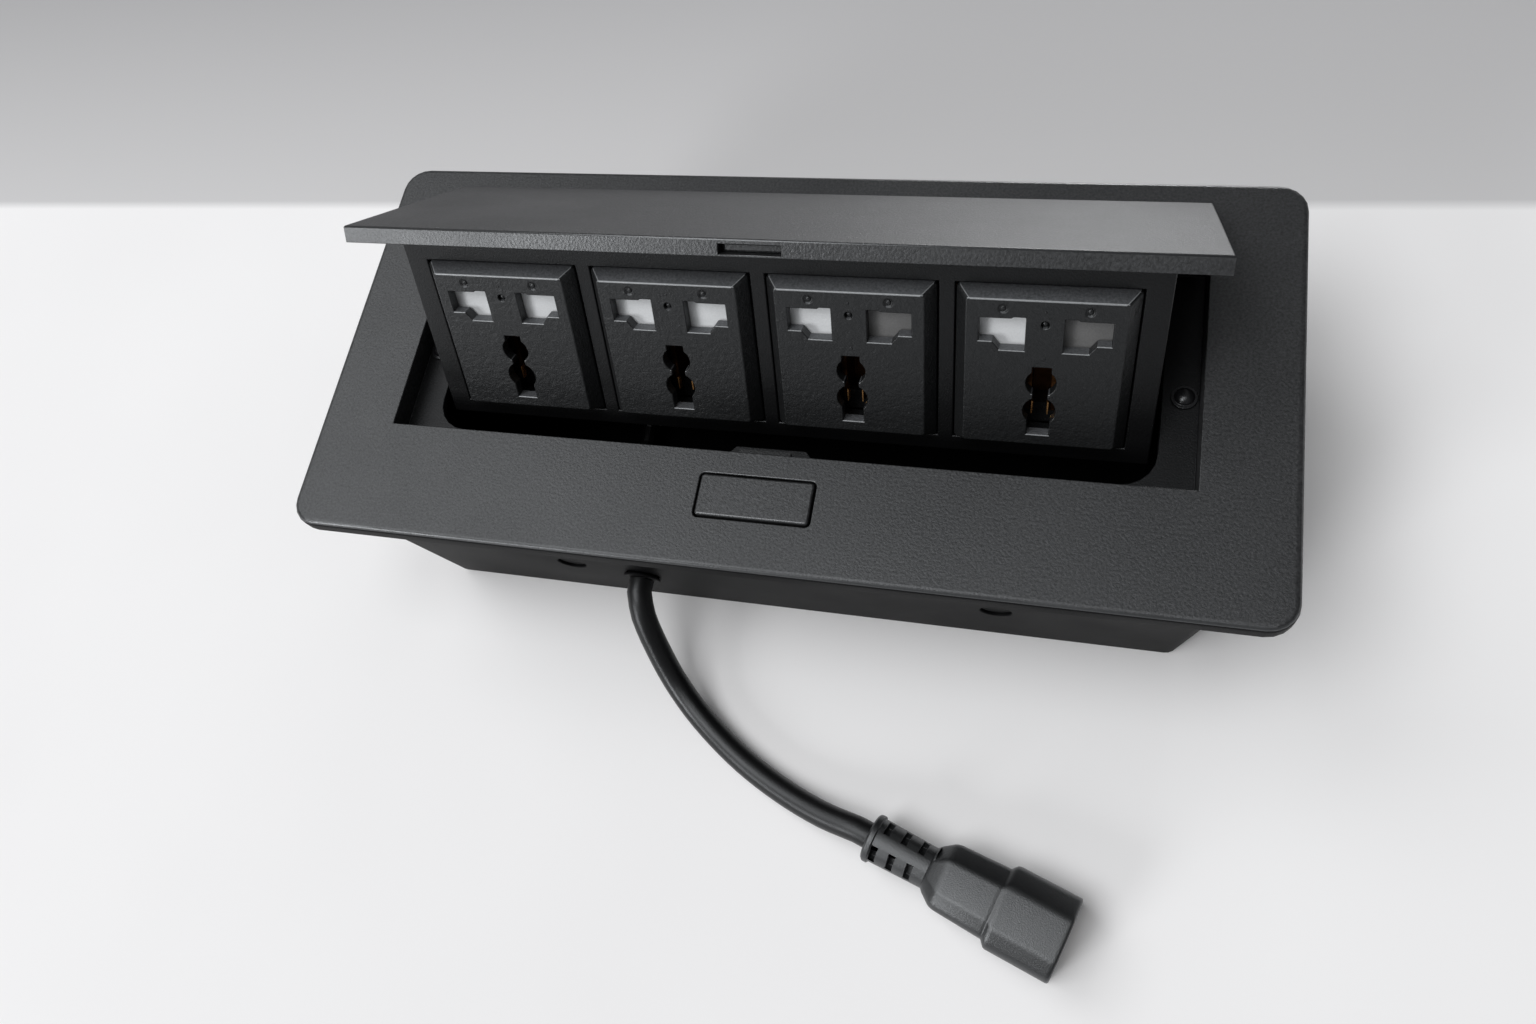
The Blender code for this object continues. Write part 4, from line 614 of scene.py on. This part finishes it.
def make_lid():
    bm = bmesh.new()
    round_lid(bm, build_lid(bm))
    turn = Matrix.Rotation(-OPEN_ANGLE, 3, "X")
    for vert in bm.verts:
        vert.co = PIVOT + turn @ (vert.co - PIVOT)
    mesh = mesh_from("lid_skin", bm)
    mesh.materials.append(MATERIALS["panel_charcoal"])
    piece = stand_in("lid", mesh)
    shut = turn.transposed()

    def front(polygon):
        return (shut @ polygon.normal).y < LOOKS_FORWARD

    def front_lip(polygon):
        normal = shut @ polygon.normal
        return LIP_Z[0] < normal.z < LIP_Z[1] and normal.y < -STEEP

    paint(piece, LID_EDGE_SATIN, front)
    # Partly painted highlight along the lid's rounded upper front edge
    paint(piece, PANEL_EDGE_PAINTED_HIGHLIGHT, front_lip)
    for polygon in mesh.polygons:
        straightest = max(abs(value) for value in shut @ polygon.normal)
        polygon.use_smooth = straightest < FLAT_NORMAL and polygon.area < SMALL_FACE


def make_slot_rib():
    """The rib that shows in the lid's latch slot, deeper than the latch reaches."""
    low = Vector((SLOT_LEFT + SLOT_RIB_LEFT, LID_FRONT + SLOT_RIB_DEPTH, SLOT_LOW + SLOT_RIB_LOW))
    high = Vector((SLOT_RIGHT - SLOT_RIB_CLEAR, LID_FRONT + SLOT_DEPTH, SLOT_HIGH - SLOT_RIB_HIGH))
    turn = Matrix.Rotation(-OPEN_ANGLE, 4, "X")
    opened = Matrix.Translation(PIVOT) @ turn @ Matrix.Translation(-PIVOT)
    block = Matrix.Translation((low + high) / 2) @ Matrix.Diagonal((*(high - low), 1.0))
    bm = bmesh.new()
    bmesh.ops.create_cube(bm, size=1.0, matrix=opened @ block)
    add_piece("lid_slot_rib", bm, "carrier", "panel_charcoal")


make_lid()


# Small moulded and stamped details on the sockets

FACE_DOTS = [  # right, up and out from the middle of the face, radius, height
    (-PIP_X, 0.01795, -0.0005, 0.00070, 0.00040),
    (PIP_X, 0.01795, -0.0005, 0.00070, 0.00040),
    (0.0, 0.0174, 0.0, 0.00035, 0.00015),
    (0.0, 0.0140, -0.0015, 0.00092, 0.00095),
    (0.0003, 0.0047, 0.0, 0.00045, 0.00008),
]
DOT_SUBDIVISIONS = 3
LIP_SECTION = [  # right and out from the middle of the face
    (0.0030, -0.0066), (0.0024, -0.0066), (0.0016, -0.0050), (0.0018, -0.0038), (0.0021, -0.0038),
    (0.0021, -0.0049),
]
LIP_ENDS = (-0.0136, -0.0100)


def on_face(middle):
    return Matrix.Translation(FACE_CENTRE + Vector((middle, 0.0, 0.0))) @ FACE_TURN


def make_dots(number, place):
    """The small round marks on a socket's face."""
    bm = bmesh.new()
    for right, up, out, radius, height in FACE_DOTS:
        size = Matrix.Diagonal((radius, radius, height, 1.0))
        spot = place @ Matrix.Translation((right, up, out)) @ size
        bmesh.ops.create_icosphere(bm, subdivisions=DOT_SUBDIVISIONS, radius=1.0, matrix=spot)
    add_piece("socket_face_" + number + "_dots", bm, "carrier", "socket_black")


def make_earth_lips(number, place):
    """The brass strips on both sides of a socket's keyhole."""
    bm = bmesh.new()
    for side in (-1, 1):
        low, high = [
            [bm.verts.new(place @ Vector((side * x, up, out))) for x, out in LIP_SECTION]
            for up in LIP_ENDS
        ]
        bridge(bm, low, high)
        bm.faces.new(low)
        bm.faces.new(reversed(high))
    bmesh.ops.recalc_face_normals(bm, faces=bm.faces)
    add_piece("earth_contact_" + number + "_lips", bm, "carrier", "brass")


for number, middle in enumerate(SOCKET_MIDDLES, 1):
    make_dots(str(number), on_face(middle))
    make_earth_lips(str(number), on_face(middle))
make_slot_rib()


# The plug's grip and shroud, as one moulding

CORNER_STEPS = 4
REAR_INSET = 1.2
FRONT_DROP = 0.45
PLUG_SECTIONS = [  # along, half width, half height, chamfer, lower corner, shoulder radius
    (0.0180, 0.0058, 0.0058, 0.0034, 0.0030, 0.0030),
    (0.0184, 0.0062, 0.0061, 0.0035, 0.0030, 0.0030),
    (0.0190, 0.0068, 0.0065, 0.0036, 0.0029, 0.0030),
    (0.0216, 0.0087, 0.0076, 0.0041, 0.0026, 0.0030),
    (0.0222, 0.0090, 0.0079, 0.0042, 0.0025, 0.0030),
    (0.0230, 0.0092, 0.0081, 0.0043, 0.0025, 0.0030),
    (0.0238, 0.0093, 0.0082, 0.0043, 0.0025, 0.0030),
    (0.0362, 0.0098, 0.0085, 0.0045, 0.0023, 0.0032),
    (0.0368, 0.0098, 0.0085, 0.0045, 0.0023, 0.0032),
    (0.0371, 0.0098, 0.00843, 0.0045, 0.0022, 0.0032),
    (0.0374, 0.0100, 0.00843, 0.0046, 0.0021, 0.0033),
    (0.0378, 0.0105, 0.0087, 0.0048, 0.0018, 0.0035),
    (0.0386, 0.0114, 0.00875, 0.0051, 0.0016, 0.0040),
    (0.0392, 0.0116, 0.00875, 0.0052, 0.0015, 0.0042),
    (0.0399, 0.0116, 0.00875, 0.0052, 0.0015, 0.0042),
    (0.0550, 0.0116, 0.00875, 0.0052, 0.0015, 0.0042),
    (0.0557, 0.0116, 0.00875, 0.0052, 0.0015, 0.0042),
    (0.0561, 0.0115, 0.00865, 0.0052, 0.0014, 0.0042),
    (0.0564, 0.0112, 0.00835, 0.0051, 0.0012, 0.0041),
    (0.0564, 0.0100, 0.00715, 0.0046, 0.0008, 0.0034),
    (0.0561, 0.0097, 0.00685, 0.0045, 0.0007, 0.0032),
    (0.0392, 0.0097, 0.00685, 0.0045, 0.0007, 0.0032),
]


def rounded(corners):
    """A closed outline through (x, y, radius) corners, each corner an arc."""
    points = []
    for index, (x, y, radius) in enumerate(corners):
        here = Vector((x, y))
        before = (Vector(corners[index - 1][:2]) - here).normalized()
        after = (Vector(corners[(index + 1) % len(corners)][:2]) - here).normalized()
        half = before.angle(after) / 2
        centre = here + (before + after).normalized() * radius / math.sin(half)
        start = here + before * radius / math.tan(half) - centre
        for step in range(CORNER_STEPS + 1):
            swing = Matrix.Rotation((math.pi - 2 * half) * step / CORNER_STEPS, 2)
            points.append(centre + swing @ start)
    return points


def plug_section(half_width, half_height, chamfer, corner, shoulder):
    """An outline across the plug, with a steep rear shoulder and a shallow front one."""
    return rounded([
        (-half_width, -half_height, corner),
        (half_width, -half_height, corner),
        (half_width, half_height - chamfer, shoulder),
        (half_width - REAR_INSET * chamfer, half_height, shoulder),
        (chamfer - half_width, half_height, shoulder),
        (-half_width, half_height - FRONT_DROP * chamfer, shoulder),
    ])


def make_plug_body():
    bm = bmesh.new()
    loops = []
    up = Vector((0.0, 0.0, 1.0))
    side = up.cross(PLUG_ALONG)
    for along, *sizes in PLUG_SECTIONS:
        centre = PLUG_START + PLUG_ALONG * along
        loops.append([bm.verts.new(centre + side * p.x + up * p.y) for p in plug_section(*sizes)])
    for first, second in zip(loops, loops[1:]):
        bridge(bm, first, second)
    bm.faces.new(reversed(loops[0]))
    bm.faces.new(loops[-1])
    bmesh.ops.recalc_face_normals(bm, faces=bm.faces)
    mesh = mesh_from("plug_shroud_skin", bm)
    mesh.materials.append(MATERIALS["plug_grey"])
    shade_rounded(mesh, SOFT_SHARP)
    return stand_in("plug_shroud", mesh)


SKINS["plug_shroud"] = make_plug_body()


# Springs and the jumper lead, as copies of their CAD solids


def give(node_name):
    """A copy of a springy CAD solid, shaded smooth, that shows in place of the node."""
    mesh = NODES[node_name].data.copy()
    shade_rounded(mesh, SOFT_SHARP)
    piece = put_in_scene(node_name + "_skin", mesh)
    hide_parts(node_name)
    return piece


def make_springs():
    for suffix, side in (("left", -1), ("right", 1)):
        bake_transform(give("torsion_spring_" + suffix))
        spring = give("button_spring_" + suffix)
        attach(spring, "housing")
        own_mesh(spring)
    spring = give("latch_spring")
    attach(spring, "housing")
    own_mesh(spring)
    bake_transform(give("jumper_lead"))


make_springs()


# The lead

CURVE_STEPS = 20
CORD_SPACING = 0.0036
CORD_ROUNDNESS = 8


def smooth_path(points, spacing):
    """Evenly spaced points on a Catmull-Rom curve through the given points."""
    ends = [2 * points[0] - points[1], *points, 2 * points[-1] - points[-2]]
    fine = []
    for a, b, c, d in zip(ends, ends[1:], ends[2:], ends[3:]):
        for step in range(CURVE_STEPS):
            t = step / CURVE_STEPS
            fine.append(0.5 * (2 * b + (c - a) * t + (2 * a - 5 * b + 4 * c - d) * t * t
                               + (3 * b - a - 3 * c + d) * t * t * t))
    fine.append(points[-1])
    lengths = [0.0]
    for here, there in zip(fine, fine[1:]):
        lengths.append(lengths[-1] + (there - here).length)
    count = round(lengths[-1] / spacing)
    path = []
    place = 0
    for step in range(count + 1):
        goal = lengths[-1] * step / count
        while place < len(fine) - 2 and lengths[place + 1] < goal:
            place += 1
        share = (goal - lengths[place]) / (lengths[place + 1] - lengths[place])
        path.append(fine[place].lerp(fine[place + 1], share))
    return path


def cord_path():
    """The middle of the lead, straight for a short way at both ends."""
    radius = CORD_DIAMETER / 2
    end = PLUG_START - PLUG_ALONG * FIT_GAP
    route = [Vector((CORD_EXIT.x + right, CORD_WALL - forward, height))
             for right, forward, height in CORD_ROUTE]
    bent = [CORD_EXIT + CORD_OUT * radius, *route, end - PLUG_ALONG * radius]
    return [CORD_EXIT, *smooth_path(bent, CORD_SPACING), end]


def make_cord():
    path = cord_path()
    curve = bpy.data.curves.new("power_cord_skin", "CURVE")
    curve.dimensions = "3D"
    curve.bevel_depth = CORD_DIAMETER / 2
    curve.bevel_resolution = CORD_ROUNDNESS
    curve.use_fill_caps = True
    spline = curve.splines.new("POLY")
    spline.points.add(len(path) - 1)
    for point, place in zip(spline.points, path):
        point.co = (*place, 1.0)
    spline.use_smooth = True
    curve.materials.append(MATERIALS["cord_black"])
    cord = put_in_scene("power_cord_skin", curve)
    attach(cord, "housing")
    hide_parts("power_cord")


make_cord()


# Floor, light and camera

FLOOR_HALF = 6.0
FLOOR_ROUGHNESS = 0.7
FLOOR_GLOSS = 0.2
PALE_SCALE = 9.0
PALE_STOPS = [(NOISE_LOW, (0.84, 0.84, 0.85)), (NOISE_HIGH, (0.86, 0.86, 0.87))]
GREY_STOPS = [(0.0, (0.56, 0.56, 0.57)), (1.0, (0.38, 0.38, 0.39))]
TABLE_TURN = math.radians(-1.69)
PALE_END = 0.0970
GREY_START = 0.1010
GREY_END = 0.2300
WORLD_COLOUR = (1.0, 1.0, 1.0, 1.0)
WORLD_STRENGTH = 0.15
LAMPS = [  # name, place, target, width and height, power
    ("key", (-2.6, -1.7, 6.2), (0.0, 0.0, 0.04), (3.8, 3.8), 244.0),
    ("side", (-3.4, 1.5, 4.3), (0.0, 0.0, 0.05), (3.0, 3.0), 76.0),
    ("front", (-3.3, -3.8, 2.2), (0.0, 0.0, 0.05), (1.6, 1.6), 100.0),
    ("top", (0.08, 0.0, 2.8), (0.08, -0.1, 0.0), (0.9, 0.9), 9.0),
    ("rear", (0.11, 0.9, 0.08), (0.10, 0.03, 0.09), (0.26, 0.12), 3.4),
]


def make_floor():
    """A pale floor that turns grey behind the object, as the studio table's far edge does."""
    bm = bmesh.new()
    bmesh.ops.create_grid(bm, x_segments=1, y_segments=1, size=FLOOR_HALF)
    mesh = mesh_from("floor", bm)
    floor = put_in_scene("floor", mesh)
    made, tree, shader = new_material("studio_floor")
    place = object_place(tree)
    along = add_node(tree, "ShaderNodeMapping", Vector=place, Rotation=(0.0, 0.0, TABLE_TURN))
    parts = add_node(tree, "ShaderNodeSeparateXYZ", Vector=along.outputs["Vector"])
    far = remap(tree, parts.outputs["Y"], 0.0, 1.0, PALE_END, GREY_START)
    deep = remap(tree, parts.outputs["Y"], 0.0, 1.0, GREY_START, GREY_END)
    pale = ramp(tree, noise(tree, place, PALE_SCALE), PALE_STOPS)
    tone = blend_colour(tree, "MIX", pale, ramp(tree, deep, GREY_STOPS), far)
    feed(tree, shader, Base_Color=tone, Roughness=FLOOR_ROUGHNESS, Specular_IOR_Level=FLOOR_GLOSS)
    mesh.materials.append(made)


def make_light():
    world = bpy.data.worlds.new("studio")
    bpy.context.scene.world = world
    world.use_nodes = True
    backdrop = world.node_tree.nodes["Background"]
    feed(world.node_tree, backdrop, Color=WORLD_COLOUR, Strength=WORLD_STRENGTH)
    for name, place, target, size, power in LAMPS:
        lamp = bpy.data.lights.new(name, "AREA")
        lamp.shape = "RECTANGLE"
        lamp.size, lamp.size_y = size
        lamp.energy = power
        light = put_in_scene(name, lamp)
        light.location = place
        aim = Vector(target) - Vector(place)
        light.rotation_euler = aim.to_track_quat("-Z", "Y").to_euler()


def make_camera():
    lens = bpy.data.cameras.new("photo")
    lens.sensor_fit = "HORIZONTAL"
    lens.sensor_width = SENSOR
    lens.lens = FOCAL_PIXELS * SENSOR / PHOTO_WIDTH
    lens.clip_start = NEAREST_SEEN
    camera = put_in_scene("photo", lens)
    turn = Matrix((CAMERA_RIGHT, CAMERA_UP, CAMERA_BACK)).transposed().to_4x4()
    camera.matrix_world = Matrix.Translation(CAMERA_PLACE) @ turn
    bpy.context.scene.camera = camera


make_floor()
make_light()
make_camera()
bpy.context.scene.view_settings.view_transform = "Standard"
